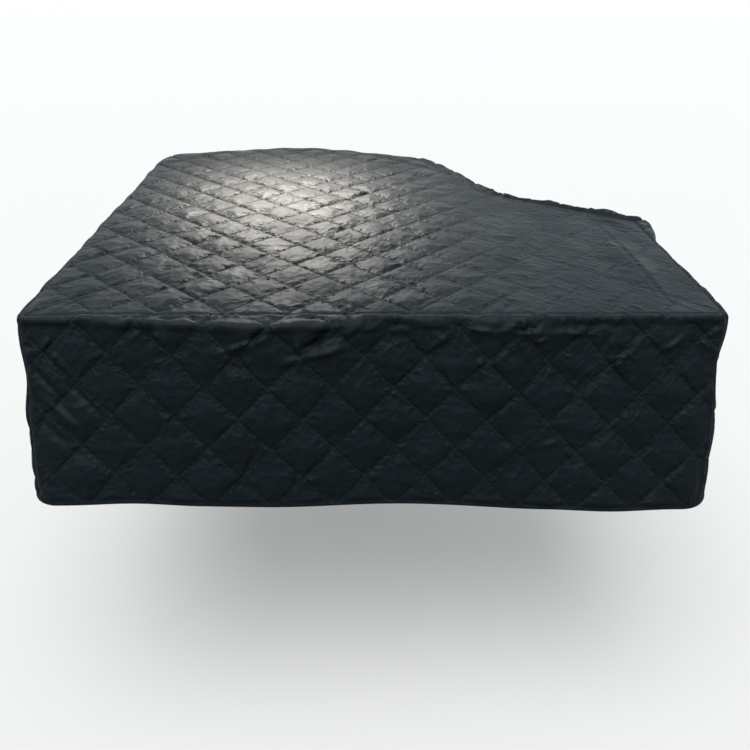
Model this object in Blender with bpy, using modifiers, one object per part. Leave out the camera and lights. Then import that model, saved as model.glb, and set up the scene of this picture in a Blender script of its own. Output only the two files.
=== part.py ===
"""Quilted cover of a baby grand piano, as it hangs on the closed instrument.

The cover is a flat top in the plan of the piano's lid and a skirt of five lengths of cloth,
sewn to the top all round and to each other at the corners. It is hollow and open below. The
front length slants forward, because the keyboard stands out under it.

Plan sizes are measured from the front left corner of the top: x to the right, along the
keyboard, and y to the tail. The empty that carries the pieces puts the frame's origin at the
middle of the lid, on the plane where the top rests.
"""

import math
from collections import namedtuple

import bpy
from mathutils import Matrix, Vector

# Driving sizes, in metres.
LID_MIDDLE = Vector((0.750, 0.700, 0.0))  # from the front left corner of the top
CLOTH = 0.004  # thickness of the padded quilting
HEM_CLOTH = 0.006  # thickness where the edge is turned under
HEM_WIDTH = 0.012
GAP = 0.0003  # between the top and the skirt at their seam
CORNER_GAP = 0.0005  # between two lengths of the skirt, whose faces twist at the corners
SHOULDER = 0.015  # how far the skirt falls while it bends over the lid's edge
SEAM_CHORDS = 5  # flats round a corner that holds a seam: the seam is in the middle one
BEND_CHORDS = 4  # flats round a corner that holds none
TOP_CENTRE = Vector((0.62, 0.66))  # every point of the top's outline is in sight of this one

# Where one stretch of the plan ends and the next begins. Each row starts one stretch: its
# corner, the corner's radius at the seam and at the hem, the skirt's length there, how far the
# stretch lies out past the seam, how far it is drawn in below that, how far it stands out at
# the hem, its number of flats, and whether a seam runs down the corner.
Stretch = namedtuple("Stretch", "name x y seam_r hem_r drop shelf waist flare flats seam")
PLAN = (
    Stretch("front", 0.000, 0.000, 0.012, 0.060, 0.383, 0.010, 0.000, 0.155, 24, True),
    Stretch("cheek", 1.502, 0.000, 0.030, 0.075, 0.418, 0.012, 0.012, 0.021, 10, True),
    Stretch("bent_front", 1.528, 0.618, 0.034, 0.060, 0.412, 0.012, 0.008, 0.032, 9, True),
    Stretch("bent_back", 1.140, 0.890, 0.300, 0.260, 0.405, 0.030, 0.004, 0.050, 8, False),
    Stretch("tail_right", 0.955, 1.355, 0.220, 0.240, 0.402, 0.016, 0.006, 0.034, 7, True),
    Stretch("tail_left", 0.500, 1.520, 0.400, 0.420, 0.398, 0.012, 0.006, 0.030, 8, False),
    Stretch("spine", 0.000, 1.380, 0.120, 0.130, 0.392, 0.006, 0.006, 0.012, 20, True),
)
WAIST_AT = 0.28  # the share of the fall where the skirt is drawn in the most, and its reach

# Levels of the skirt from seam to hem: the share of the shelf reached, the fall over the
# shoulder, and the share of the way from the shoulder to the hem.
Level = namedtuple("Level", "shelf fall down")
SHOULDER_LEVELS = (
    Level(0.00, 0.0, 0.0),
    Level(0.50, 0.0, 0.0),
    Level(0.86, 0.3 * SHOULDER, 0.0),
    Level(1.00, SHOULDER, 0.0),
)
FALL_SHARES = (0.11, 0.26, 0.43, 0.60, 0.78)

# Soft folds of the skirt: the stretch, the place along it as a share of its length, the reach
# to each side as a share, and how far it stands out at the shoulder and at the hem. The fold
# at the corner of cheek and bentside is in two rows, one for each stretch.
Fold = namedtuple("Fold", "stretch at reach shoulder hem")
FOLDS = (
    Fold("front", 0.12, 0.10, 0.010, -0.006),
    Fold("front", 0.32, 0.28, 0.042, 0.004),
    Fold("front", 0.54, 0.22, 0.000, -0.015),
    Fold("front", 0.68, 0.15, 0.022, -0.003),
    Fold("front", 0.88, 0.10, 0.007, 0.006),
    Fold("cheek", 0.24, 0.20, 0.002, 0.012),
    Fold("cheek", 0.58, 0.20, -0.002, -0.010),
    Fold("cheek", 1.00, 0.26, 0.032, 0.030),
    Fold("bent_front", 0.00, 0.32, 0.032, 0.030),
    Fold("bent_front", 0.24, 0.22, 0.044, 0.040),
    Fold("bent_front", 0.46, 0.18, 0.012, 0.002),
    Fold("bent_front", 0.74, 0.26, 0.030, 0.028),
    Fold("bent_back", 0.26, 0.22, 0.004, 0.020),
    Fold("bent_back", 0.56, 0.18, -0.004, -0.014),
    Fold("bent_back", 0.82, 0.16, 0.004, 0.012),
    Fold("tail_right", 0.30, 0.24, -0.002, -0.008),
    Fold("tail_right", 0.66, 0.26, 0.005, 0.015),
    Fold("tail_left", 0.26, 0.22, -0.002, -0.011),
    Fold("tail_left", 0.52, 0.20, 0.004, 0.012),
    Fold("tail_left", 0.80, 0.18, -0.002, -0.008),
    Fold("spine", 0.13, 0.11, 0.003, 0.010),
    Fold("spine", 0.31, 0.12, -0.001, -0.009),
    Fold("spine", 0.50, 0.13, 0.004, 0.014),
    Fold("spine", 0.68, 0.11, -0.001, -0.010),
    Fold("spine", 0.87, 0.11, 0.003, 0.009),
)

# Ridges where the top lifts off the lid: both ends, height and reach to each side.
Ridge = namedtuple("Ridge", "x0 y0 x1 y1 height reach")
RIDGES = (
    Ridge(1.40, 0.64, 1.40, 0.07, 0.009, 0.075),
    Ridge(1.20, 0.74, 1.12, 0.32, 0.005, 0.080),
    Ridge(0.12, 0.16, 0.30, 0.62, 0.005, 0.090),
    Ridge(0.22, 1.20, 0.52, 1.02, 0.005, 0.090),
)
TOP_SCALES = (1.0, 0.955, 0.87, 0.76, 0.63, 0.48, 0.31, 0.14)

# Each piece of the skirt and the stretches it covers.
SKIRT_PIECES = {
    "front_skirt": ("front",),
    "cheek_skirt": ("cheek",),
    "bentside_skirt": ("bent_front", "bent_back"),
    "tail_skirt": ("tail_right", "tail_left"),
    "spine_skirt": ("spine",),
}

SLATE_BLACK = (0.020, 0.024, 0.029, 1.0)
QUILT_ROUGHNESS = 0.48

Station = namedtuple("Station", "point normal stretch share end")


def clear_scene():
    """Remove every object of the open scene."""
    for item in list(bpy.data.objects):
        bpy.data.objects.remove(item, do_unlink=True)


def cloth_material(name):
    """The dull sheen of black quilted nylon."""
    material = bpy.data.materials.new(name)
    material.use_nodes = True
    shader = material.node_tree.nodes["Principled BSDF"]
    shader.inputs["Base Color"].default_value = SLATE_BLACK
    shader.inputs["Roughness"].default_value = QUILT_ROUGHNESS
    shader.inputs["Metallic"].default_value = 0.0
    return material


def smooth(value):
    """Ease from 0 to 1 with level ends."""
    value = min(max(value, 0.0), 1.0)
    return value * value * (3.0 - 2.0 * value)


def swell(distance):
    """A soft hump: 1 at distance 0, and 0 from distance 1 on."""
    return smooth(1.0 - abs(distance))


def outward(direction):
    """The outward normal of an edge that is walked with the cover on its left."""
    return Vector((direction.y, -direction.x))


def moved_corners(offsets):
    """The plan's corners after each edge has moved outward by its own offset."""
    starts = [Vector((row.x, row.y)) for row in PLAN]
    count = len(PLAN)
    edges = []
    for index, start in enumerate(starts):
        direction = (starts[(index + 1) % count] - start).normalized()
        edges.append((start + outward(direction) * offsets[index], direction))
    corners = []
    for index in range(count):
        (point_a, along_a), (point_b, along_b) = edges[index - 1], edges[index]
        between = point_b - point_a
        reach = (between.x * along_b.y - between.y * along_b.x) / (
            along_a.x * along_b.y - along_a.y * along_b.x
        )
        corners.append(point_a + along_a * reach)
    return corners


def rounded_corner(corner, before, after, radius, chords):
    """Points and outward normals round one corner, from the first edge to the second."""
    along_in = (corner - before).normalized()
    along_out = (after - corner).normalized()
    turn = math.atan2(
        along_in.x * along_out.y - along_in.y * along_out.x, along_in.dot(along_out)
    )
    start = corner - along_in * radius * math.tan(abs(turn) / 2)
    side = math.copysign(1.0, turn)
    centre = start - outward(along_in) * radius * side
    found = []
    for step in range(chords + 1):
        normal = Matrix.Rotation(turn * step / chords, 2) @ outward(along_in)
        found.append((centre + normal * radius * side, normal))
    return found


def ring(offsets, radii):
    """Stations round the plan: points, normals, and the share of the stretch passed there.

    A corner with a seam has two stations close together in its middle flat. The first ends one
    piece, and the second starts the next.
    """
    corners = moved_corners(offsets)
    count = len(PLAN)
    bends = []
    for index, row in enumerate(PLAN):
        chords = SEAM_CHORDS if row.seam else BEND_CHORDS
        bends.append(
            rounded_corner(
                corners[index],
                corners[index - 1],
                corners[(index + 1) % count],
                radii[index],
                chords,
            )
        )
    stations = []
    for index, row in enumerate(PLAN):
        bend = bends[index]
        middle = (len(bend) - 1) // 2
        if row.seam:
            (point_a, normal_a), (point_b, normal_b) = bend[middle], bend[middle + 1]
            along = (point_b - point_a).normalized()
            seam = (point_a + point_b) / 2
            normal = (normal_a + normal_b).normalized()
            last = PLAN[index - 1].name
            for point, facing in bend[: middle + 1]:
                stations.append(Station(point, facing, last, 1.0, False))
            stations.append(Station(seam - along * CORNER_GAP / 2, normal, last, 1.0, True))
            stations.append(Station(seam + along * CORNER_GAP / 2, normal, row.name, 0.0, True))
            for point, facing in bend[middle + 1 :]:
                stations.append(Station(point, facing, row.name, 0.0, False))
        else:
            for point, facing in bend:
                stations.append(Station(point, facing, row.name, 0.0, False))
        start = bend[-1][0]
        finish = bends[(index + 1) % count][0][0]
        normal = outward((finish - start).normalized())
        for step in range(1, row.flats):
            share = step / row.flats
            stations.append(Station(start.lerp(finish, share), normal, row.name, share, False))
    return stations


def row_of(name):
    """The number of a stretch in the plan."""
    return [row.name for row in PLAN].index(name)


def drop_at(station):
    """The skirt's length at a station, from its lengths at the two corners."""
    index = row_of(station.stretch)
    after = PLAN[(index + 1) % len(PLAN)].drop
    return PLAN[index].drop + (after - PLAN[index].drop) * smooth(station.share)


def fold_at(station, level):
    """How far the folds push the cloth out at a station and level."""
    total = 0.0
    for fold in FOLDS:
        if fold.stretch == station.stretch:
            height = fold.shoulder * level.shelf * (1.0 - level.down) + fold.hem * level.down
            total += height * swell((station.share - fold.at) / fold.reach)
    return total


def skirt_levels():
    """The levels from the seam to the hem, with the two where the hem begins."""
    levels = list(SHOULDER_LEVELS)
    longest = max(row.drop for row in PLAN)
    hem_share = HEM_WIDTH / (longest - SHOULDER)
    step = 0.002 / (longest - SHOULDER)
    for share in FALL_SHARES + (1.0 - hem_share - step, 1.0 - hem_share, 1.0):
        levels.append(Level(1.0, SHOULDER, share))
    return levels


def skirt_ring(level):
    """Stations and heights of the skirt's inner face at one level."""
    drawn_in = swell((level.down - WAIST_AT) / WAIST_AT)
    offsets = [
        GAP
        + row.shelf * level.shelf
        + (row.flare - row.shelf) * level.down
        - row.waist * drawn_in
        for row in PLAN
    ]
    radii = [row.seam_r + (row.hem_r - row.seam_r) * level.down for row in PLAN]
    placed = []
    for station in ring(offsets, radii):
        point = station.point + station.normal * fold_at(station, level)
        height = -level.fall - level.down * (drop_at(station) - SHOULDER)
        placed.append((station, Vector((point.x, point.y, height))))
    return placed


def sheet_object(name, points, faces, hem_points, frame, collection):
    """A sheet of cloth: an open surface on its inner face, made solid outward."""
    mesh = bpy.data.meshes.new(name)
    mesh.from_pydata([tuple(point) for point in points], [], faces)
    mesh.materials.append(cloth_material(name + "_cloth"))
    item = bpy.data.objects.new(name, mesh)
    collection.objects.link(item)
    item.parent = frame
    thick = item.vertex_groups.new(name="hem")
    thick.add(list(hem_points), 1.0, "REPLACE")
    solid = item.modifiers.new("cloth", "SOLIDIFY")
    solid.thickness = HEM_CLOTH if hem_points else CLOTH
    solid.offset = 1.0
    if hem_points:
        solid.vertex_group = thick.name
        solid.thickness_vertex_group = CLOTH / HEM_CLOTH
    mesh.shade_smooth()
    return item


def skirt_piece(name, stretches, rings, frame, collection):
    """One length of the skirt, from the seam that starts it to the seam that ends it."""
    columns = [
        index for index, (station, _) in enumerate(rings[0]) if station.stretch in stretches
    ]
    first = next(
        spot
        for spot, index in enumerate(columns)
        if rings[0][index][0].end and rings[0][index][0].share == 0.0
    )
    columns = columns[first:] + columns[:first]
    width = len(columns)
    points = [placed[index][1] for placed in rings for index in columns]
    faces = []
    for level in range(len(rings) - 1):
        for column in range(width - 1):
            corner = level * width + column
            faces.append((corner, corner + width, corner + width + 1, corner + 1))
    hem_points = range(width * (len(rings) - 2), width * len(rings))
    return sheet_object(name, points, faces, hem_points, frame, collection)


def lift_at(point):
    """How far the ridges lift the top off the lid at a point of the plan."""
    total = 0.0
    for ridge in RIDGES:
        start = Vector((ridge.x0, ridge.y0))
        along = Vector((ridge.x1, ridge.y1)) - start
        share = (point - start).dot(along) / along.length_squared
        distance = (point - start - along * share).length
        ends = swell(2.0 * share - 1.0)
        total += ridge.height * ends * swell(distance / ridge.reach)
    return total


def top_panel(frame, collection):
    """The top: rings of points from the outline in to the middle, lifted along the ridges."""
    outline = [
        station.point
        for station in ring([-GAP / 2] * len(PLAN), [row.seam_r for row in PLAN])
        if not station.end
    ]
    width = len(outline)
    points = []
    for scale in TOP_SCALES:
        for point in outline:
            spot = TOP_CENTRE.lerp(point, scale)
            lift = 0.0 if scale > 0.9 else lift_at(spot)
            points.append(Vector((spot.x, spot.y, lift)))
    faces = []
    for level in range(len(TOP_SCALES) - 1):
        for column in range(width):
            after = (column + 1) % width
            low, high = level * width, (level + 1) * width
            faces.append((low + column, low + after, high + after, high + column))
    points.append(Vector((TOP_CENTRE.x, TOP_CENTRE.y, lift_at(TOP_CENTRE))))
    last = (len(TOP_SCALES) - 1) * width
    for column in range(width):
        faces.append((last + column, last + (column + 1) % width, len(points) - 1))
    return sheet_object("top_panel", points, faces, (), frame, collection)


def build():
    """Make the cover's six pieces."""
    clear_scene()
    collection = bpy.data.collections.new("grand_piano_cover")
    bpy.context.scene.collection.children.link(collection)
    frame = bpy.data.objects.new("piano_lid", None)
    frame.location = -LID_MIDDLE
    collection.objects.link(frame)
    top_panel(frame, collection)
    rings = [skirt_ring(level) for level in skirt_levels()]
    for name, stretches in SKIRT_PIECES.items():
        skirt_piece(name, stretches, rings, frame, collection)


build()
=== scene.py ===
"""Quilted cover of a baby grand piano: its cloth, its light and its camera.

The cover is a flat top and a skirt of five lengths. Each is cut flat from quilted cloth, laid on
the shape in which it hangs, and then settled, so that the cloth between the rows of sewing puffs
up and puckers. Sizes are in metres. The plan is measured from the front left corner of the top:
x to the right, along the keyboard, and y to the tail.
"""

import logging
import math
from dataclasses import dataclass, field
from enum import Enum

import bpy
import numpy as np
from mathutils import Matrix, Vector
from mathutils.geometry import delaunay_2d_cdt


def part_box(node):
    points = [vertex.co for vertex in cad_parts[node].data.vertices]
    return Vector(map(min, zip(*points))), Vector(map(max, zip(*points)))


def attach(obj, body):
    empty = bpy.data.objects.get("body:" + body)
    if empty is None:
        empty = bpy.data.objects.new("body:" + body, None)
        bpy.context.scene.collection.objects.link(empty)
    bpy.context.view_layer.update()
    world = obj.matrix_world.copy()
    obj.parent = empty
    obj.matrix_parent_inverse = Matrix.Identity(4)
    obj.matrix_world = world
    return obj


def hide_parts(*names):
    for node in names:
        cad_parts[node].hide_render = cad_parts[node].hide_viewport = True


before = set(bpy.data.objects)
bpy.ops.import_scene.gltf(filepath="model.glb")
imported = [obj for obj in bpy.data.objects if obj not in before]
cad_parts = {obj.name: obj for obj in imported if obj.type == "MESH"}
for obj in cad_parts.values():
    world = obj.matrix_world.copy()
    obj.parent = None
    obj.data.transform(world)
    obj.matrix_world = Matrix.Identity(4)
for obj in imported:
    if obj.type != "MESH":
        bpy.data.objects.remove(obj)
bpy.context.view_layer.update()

LOG = logging.getLogger("piano_cover")
Array = np.ndarray
Socket = bpy.types.NodeSocket
BODY = "root"
MM = 0.001
SLIVER = 1e-8  # twice the area of a triangle too thin to keep, in square metres
JOINED = 1e-8  # points nearer to each other than this become one
NUDGE = 1e-7  # keeps grid points off the outline's own lines
TINY = 1e-12  # keeps a length that is divided by above zero
FLATTEST_SLOPE = 1e-6
EASED = {"interpolation_type": "SMOOTHSTEP"}
WAVE_LENGTH = 0.314  # of the wave texture at scale 1


class Held(Enum):
    """How a piece of the cover is held up."""

    ON_LID = "draped"
    FROM_SEAM = "hung"


# ---------------- small helpers


def smooth(value: Array) -> Array:
    """Ease from 0 to 1 with level ends. A number outside counts as the nearer end."""
    held = np.clip(value, 0.0, 1.0)
    return held * held * (3.0 - 2.0 * held)


def swell(distance: Array) -> Array:
    """Give a soft hump: 1 at distance 0, and 0 from distance 1 on."""
    return smooth(1.0 - np.abs(distance))


def linear_colour(code: str) -> tuple[float, float, float, float]:
    """Turn an sRGB hex colour into the linear colour that a shader takes.

    Args:
        code: The colour, such as "#1d2227".

    Returns:
        Red, green, blue and alpha.
    """
    found = []
    for start in (1, 3, 5):
        share = int(code[start : start + 2], 16) / 255.0
        if share <= 0.04045:
            found.append(share / 12.92)
        else:
            found.append(((share + 0.055) / 1.055) ** 2.4)
    return (found[0], found[1], found[2], 1.0)


def add_node(
    tree: bpy.types.NodeTree,
    kind: str,
    inputs: dict[str | int, object] | tuple = (),
    output: str | int = 0,
    **settings: object,
) -> Socket:
    """Add one node with its settings, values and links.

    Args:
        tree: The node tree it goes in.
        kind: The node's type, without the word ShaderNode before it.
        inputs: What its sockets take, by name or in order: a value, or the socket to plug in.
        output: Which of its outputs is wanted.
        settings: Properties of the node.

    Returns:
        That output.
    """
    node = tree.nodes.new("ShaderNode" + kind)
    for name, value in settings.items():
        setattr(node, name, value)
    named = inputs if isinstance(inputs, dict) else dict(enumerate(inputs))
    for name, value in named.items():
        if isinstance(value, Socket):
            tree.links.new(value, node.inputs[name])
        else:
            node.inputs[name].default_value = value
    return node.outputs[output]


def put(
    name: str,
    data: bpy.types.ID,
    place: tuple[float, float, float] = (0.0, 0.0, 0.0),
    way: Vector | None = None,
) -> bpy.types.Object:
    """Put a mesh, a light or the camera into the scene.

    Args:
        name: The object's name.
        data: The mesh, light or camera.
        place: Where it stands.
        way: The way that a light shines.

    Returns:
        The object.
    """
    item = bpy.data.objects.new(name, data)
    item.location = place
    if way is not None:
        item.rotation_mode = "QUATERNION"
        item.rotation_quaternion = way.to_track_quat("-Z", "Y")
    bpy.context.scene.collection.objects.link(item)
    return item


class Unevenness:
    """Smooth, seeded variation over the flat cut, made of waves in many directions."""

    def __init__(
        self, seed: int, size: float, waves: int = 26, turn: float = 0.0, reach: float = 3.2
    ) -> None:
        """Draw the waves.

        Args:
            seed: The number that fixes the draw.
            size: The usual wavelength.
            waves: How many waves are summed.
            turn: The middle direction across the waves, in radians.
            reach: The spread of directions about it.
        """
        draw = np.random.default_rng(seed)
        angle = turn + draw.uniform(-reach / 2, reach / 2, waves)
        wave = 2 * math.pi / (size * draw.uniform(0.65, 1.7, waves))
        self.across = np.stack([np.cos(angle) * wave, np.sin(angle) * wave])
        self.start = draw.uniform(0, 2 * math.pi, waves)
        self.scale = math.sqrt(2.0 / waves)

    def at(self, flat: Array) -> Array:
        """Give the variation at points of the cut, mostly within -2 and 2."""
        return np.cos(flat @ self.across + self.start).sum(axis=1) * self.scale


# ---------------- the plan and the skirt's shape


@dataclass(frozen=True)
class Stretch:
    """One stretch of the plan, from its own corner to the next stretch's corner.

    Its skirt lies out level by the shelf, drops, is drawn in by the waist below the bend, and
    stands out by the flare at the hem.
    """

    name: str
    x: float
    y: float
    seam_radius: float
    hem_radius: float
    drop: float
    shelf: float
    waist: float
    flare: float


@dataclass(frozen=True)
class Fold:
    """A soft fold of the skirt: where it is along a stretch and how far it stands out."""

    stretch: str
    at: float
    reach: float
    shoulder: float
    hem: float


@dataclass(frozen=True)
class SkirtShape:
    """The surface on which the skirt's cloth hangs, from the seam to the hem."""

    shoulder: float = 0.015  # how far down the bend over the lid's edge reaches
    bend: float = 0.011  # and how far out
    waist_at: float = 0.28
    tuck: float = 0.004  # how far inside the seam the surface begins
    flattest: float = 0.85  # the most of a shelf that stays level
    narrowest: float = 0.001
    stretches: tuple[Stretch, ...] = (
        Stretch("front", 0.000, 0.000, 0.012, 0.060, 0.383, 0.010, 0.000, 0.155),
        Stretch("cheek", 1.502, 0.000, 0.030, 0.075, 0.418, 0.012, 0.012, 0.021),
        Stretch("bent_front", 1.528, 0.618, 0.034, 0.060, 0.412, 0.012, 0.008, 0.032),
        Stretch("bent_back", 1.140, 0.890, 0.300, 0.260, 0.405, 0.030, 0.004, 0.050),
        Stretch("tail_right", 0.955, 1.355, 0.220, 0.240, 0.402, 0.016, 0.006, 0.034),
        Stretch("tail_left", 0.500, 1.520, 0.400, 0.420, 0.398, 0.012, 0.006, 0.030),
        Stretch("spine", 0.000, 1.380, 0.120, 0.130, 0.392, 0.006, 0.006, 0.012),
    )
    folds: tuple[Fold, ...] = (
        Fold("front", 0.12, 0.10, 0.010, -0.006),
        Fold("front", 0.32, 0.28, 0.042, 0.004),
        Fold("front", 0.54, 0.22, 0.000, -0.015),
        Fold("front", 0.68, 0.15, 0.022, -0.003),
        Fold("front", 0.88, 0.10, 0.007, 0.006),
        Fold("cheek", 0.24, 0.20, 0.002, 0.012),
        Fold("cheek", 0.58, 0.20, -0.002, -0.010),
        Fold("cheek", 1.00, 0.26, 0.032, 0.030),
        Fold("bent_front", 0.00, 0.32, 0.032, 0.030),
        Fold("bent_front", 0.24, 0.22, 0.044, 0.040),
        Fold("bent_front", 0.46, 0.18, 0.012, 0.002),
        Fold("bent_front", 0.74, 0.26, 0.030, 0.028),
        Fold("bent_back", 0.26, 0.22, 0.004, 0.020),
        Fold("bent_back", 0.56, 0.18, -0.004, -0.014),
        Fold("bent_back", 0.82, 0.16, 0.004, 0.012),
        Fold("tail_right", 0.30, 0.24, -0.002, -0.008),
        Fold("tail_right", 0.66, 0.26, 0.005, 0.015),
        Fold("tail_left", 0.26, 0.22, -0.002, -0.011),
        Fold("tail_left", 0.52, 0.20, 0.004, 0.012),
        Fold("tail_left", 0.80, 0.18, -0.002, -0.008),
        Fold("spine", 0.13, 0.11, 0.003, 0.010),
        Fold("spine", 0.31, 0.12, -0.001, -0.009),
        Fold("spine", 0.50, 0.13, 0.004, 0.014),
        Fold("spine", 0.68, 0.11, -0.001, -0.010),
        Fold("spine", 0.87, 0.11, 0.003, 0.009),
    )

    def column(self, name: str) -> Array:
        """Give one size of every stretch, in order."""
        return np.array([getattr(row, name) for row in self.stretches])

    def number(self, name: str) -> int:
        """Give a stretch's place in the plan."""
        return [row.name for row in self.stretches].index(name)

    def edges(self) -> tuple[Array, Array, Array]:
        """Find the plan's corners and the direction and outward normal of each edge.

        Returns:
            Corners, directions and normals, a row each.
        """
        corners = np.stack([self.column("x"), self.column("y")], axis=1)
        along = np.roll(corners, -1, axis=0) - corners
        along /= np.linalg.norm(along, axis=1)[:, None]
        return corners, along, np.stack([along[:, 1], -along[:, 0]], axis=1)

    def corner_turn(
        self, index: int, offsets: Array, radii: Array
    ) -> tuple[Array, Array, float]:
        """Find where one corner of the plan lies once its edges have moved out.

        Args:
            index: The corner.
            offsets: For each point, how far out each edge has moved.
            radii: For each point, each corner's radius.

        Returns:
            For each point, the corner and how far its rounding reaches along its edges; then the
            angle through which the plan turns there.
        """
        corners, along, normals = self.edges()
        solve = np.linalg.inv(np.stack([normals[index - 1], normals[index]]))
        moved = np.stack([offsets[:, index - 1], offsets[:, index]], axis=1)
        corner = corners[index] + moved @ solve.T
        way, onward = along[index - 1], along[index]
        turn = math.atan2(way[0] * onward[1] - way[1] * onward[0], float(way @ onward))
        return corner, radii[:, index][:, None] * math.tan(abs(turn) / 2), turn

    def ring_point(self, spot: Array, offsets: Array, radii: Array) -> tuple[Array, Array]:
        """Place points round the plan once its edges have moved out and its corners are rounded.

        Args:
            spot: Where each point is. Corner i takes 2i to 2i+1 and stretch i takes 2i+1 to 2i+2.
            offsets: For each point, how far out each edge has moved.
            radii: For each point, each corner's radius.

        Returns:
            The points and their outward normals.
        """
        _, along, normals = self.edges()
        count = len(along)
        part = np.floor(spot).astype(int) % (2 * count)
        share = (spot - np.floor(spot))[:, None]
        point = np.zeros((len(spot), 2))
        facing = np.zeros((len(spot), 2))

        for index in range(count):
            rows = np.flatnonzero(part == 2 * index)
            if len(rows):
                corner, reach, turn = self.corner_turn(index, offsets[rows], radii[rows])
                side = math.copysign(1.0, turn)
                radius = radii[rows, index][:, None]
                centre = corner - along[index - 1] * reach - normals[index - 1] * radius * side
                angle = turn * share[rows, 0]
                first = normals[index - 1]
                facing[rows, 0] = np.cos(angle) * first[0] - np.sin(angle) * first[1]
                facing[rows, 1] = np.sin(angle) * first[0] + np.cos(angle) * first[1]
                point[rows] = centre + facing[rows] * radius * side
            rows = np.flatnonzero(part == 2 * index + 1)
            if len(rows):
                after = (index + 1) % count
                corner, reach, _ = self.corner_turn(index, offsets[rows], radii[rows])
                next_corner, next_reach, _ = self.corner_turn(after, offsets[rows], radii[rows])
                start = corner + along[index] * reach
                finish = next_corner - along[index] * next_reach
                point[rows] = start + (finish - start) * share[rows]
                facing[rows] = normals[index]
        return point, facing

    def along_stretch(self, spot: Array) -> tuple[Array, Array]:
        """Name the stretch of each place round the plan and the share of it passed there.

        Args:
            spot: Places round the plan.

        Returns:
            The number of each place's stretch, and the share of it passed.
        """
        count = len(self.stretches)
        part = np.floor(spot).astype(int) % (2 * count)
        share = spot - np.floor(spot)
        corner = part % 2 == 0
        late = corner & (share >= 0.5)
        index = np.where(corner & ~late, (part // 2 - 1) % count, part // 2)
        return index, np.where(corner, np.where(late, 0.0, 1.0), share)

    def fold_height(self, spot: Array, out: Array, down: Array) -> Array:
        """Say how far the folds push the cloth out.

        Args:
            spot: Places round the plan.
            out: The share of the shelf passed there.
            down: The share of the way from the shoulder to the hem.

        Returns:
            The height of the folds at each place.
        """
        index, share = self.along_stretch(spot)
        total = np.zeros(len(spot))
        for fold in self.folds:
            rows = index == self.number(fold.stretch)
            height = fold.shoulder * out[rows] * (1.0 - down[rows]) + fold.hem * down[rows]
            total[rows] += height * swell((share[rows] - fold.at) / fold.reach)
        return total

    def drop(self, spot: Array) -> Array:
        """Give the skirt's length at places round the plan.

        Args:
            spot: Places round the plan.

        Returns:
            The length at each place.
        """
        index, share = self.along_stretch(spot)
        drops = self.column("drop")
        after = np.roll(drops, -1)
        return drops[index] + (after[index] - drops[index]) * smooth(share)

    def place(self, spot: Array, travel: Array) -> Array:
        """Place points of the hanging surface.

        Args:
            spot: Places round the plan.
            travel: From -1 to 0 inside the seam, 0 to 1 over the shoulder, 1 to 2 down to the hem.

        Returns:
            The points, a row each.
        """
        out = np.clip(travel, 0.0, 1.0)
        down = np.clip(travel - 1.0, 0.0, 1.0)
        inside = np.clip(-travel, 0.0, 1.0)
        ones = np.ones(len(spot))
        index, _ = self.along_stretch(spot)
        shelf = self.column("shelf")
        width = shelf[index] + self.fold_height(spot, ones, 0.0 * ones)
        flat = np.clip(1.0 - self.bend / np.maximum(width, self.narrowest), 0.0, self.flattest)
        angle = np.clip((out - flat) / (1.0 - flat), 0.0, 1.0) * math.pi / 2
        over = np.where(out < flat, out, flat + (1.0 - flat) * np.sin(angle))
        fall = self.shoulder * (1.0 - np.cos(angle))
        drawn_in = swell((down - self.waist_at) / self.waist_at)
        offsets = (
            shelf * over[:, None]
            + (self.column("flare") - shelf) * down[:, None]
            - self.column("waist") * drawn_in[:, None]
            - self.tuck * inside[:, None]
        )
        seam, hem = self.column("seam_radius"), self.column("hem_radius")
        radii = seam + (hem - seam) * down[:, None]
        point, facing = self.ring_point(spot, offsets, radii)
        point = point + facing * self.fold_height(spot, over, down)[:, None]
        height = -fall - down * (self.drop(spot) - self.shoulder)
        return np.column_stack([point, height])


# ---------------- the quilting and its cut


@dataclass(frozen=True)
class Wrinkles:
    """Many short creases on the flat cut: ridges where the height is positive, else troughs."""

    starts: Array
    angles: Array
    lengths: Array
    reaches: Array
    heights: Array
    peak: float = 0.5  # where along its length a crease is highest
    square: float = 0.045  # the cut is worked through in squares of this size

    def at(self, flat: Array) -> Array:
        """Give the creases' total height at flat places.

        Args:
            flat: Places on the cut.

        Returns:
            The height at each place.
        """
        ways = np.stack([np.cos(self.angles), np.sin(self.angles)], axis=1)
        middles = self.starts + ways * self.lengths[:, None] / 2
        spans = self.lengths / 2 + self.reaches
        total = np.zeros(len(flat))
        half_across = 0.71 * self.square
        cell = np.floor(flat / self.square).astype(int)
        order = np.lexsort((cell[:, 1], cell[:, 0]))
        changes = np.any(np.diff(cell[order], axis=0) != 0, axis=1)
        for rows in np.split(order, np.flatnonzero(changes) + 1):
            centre = (cell[rows[0]] + 0.5) * self.square
            away = np.linalg.norm(middles - centre, axis=1)
            close = np.flatnonzero(away < spans + half_across)
            if not len(close):
                continue
            gap = flat[rows][:, None] - self.starts[close][None]
            way = ways[close]
            share = (gap * way).sum(axis=2) / self.lengths[close]
            off = np.abs(gap[..., 0] * way[:, 1] - gap[..., 1] * way[:, 0]) / self.reaches[close]
            along = smooth(np.minimum(share / self.peak, (1.0 - share) / (1.0 - self.peak)))
            across = np.maximum(1.0 - off, 0.0) ** 1.5
            total[rows] = (along * across * self.heights[close]).sum(axis=1)
        return total


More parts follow.
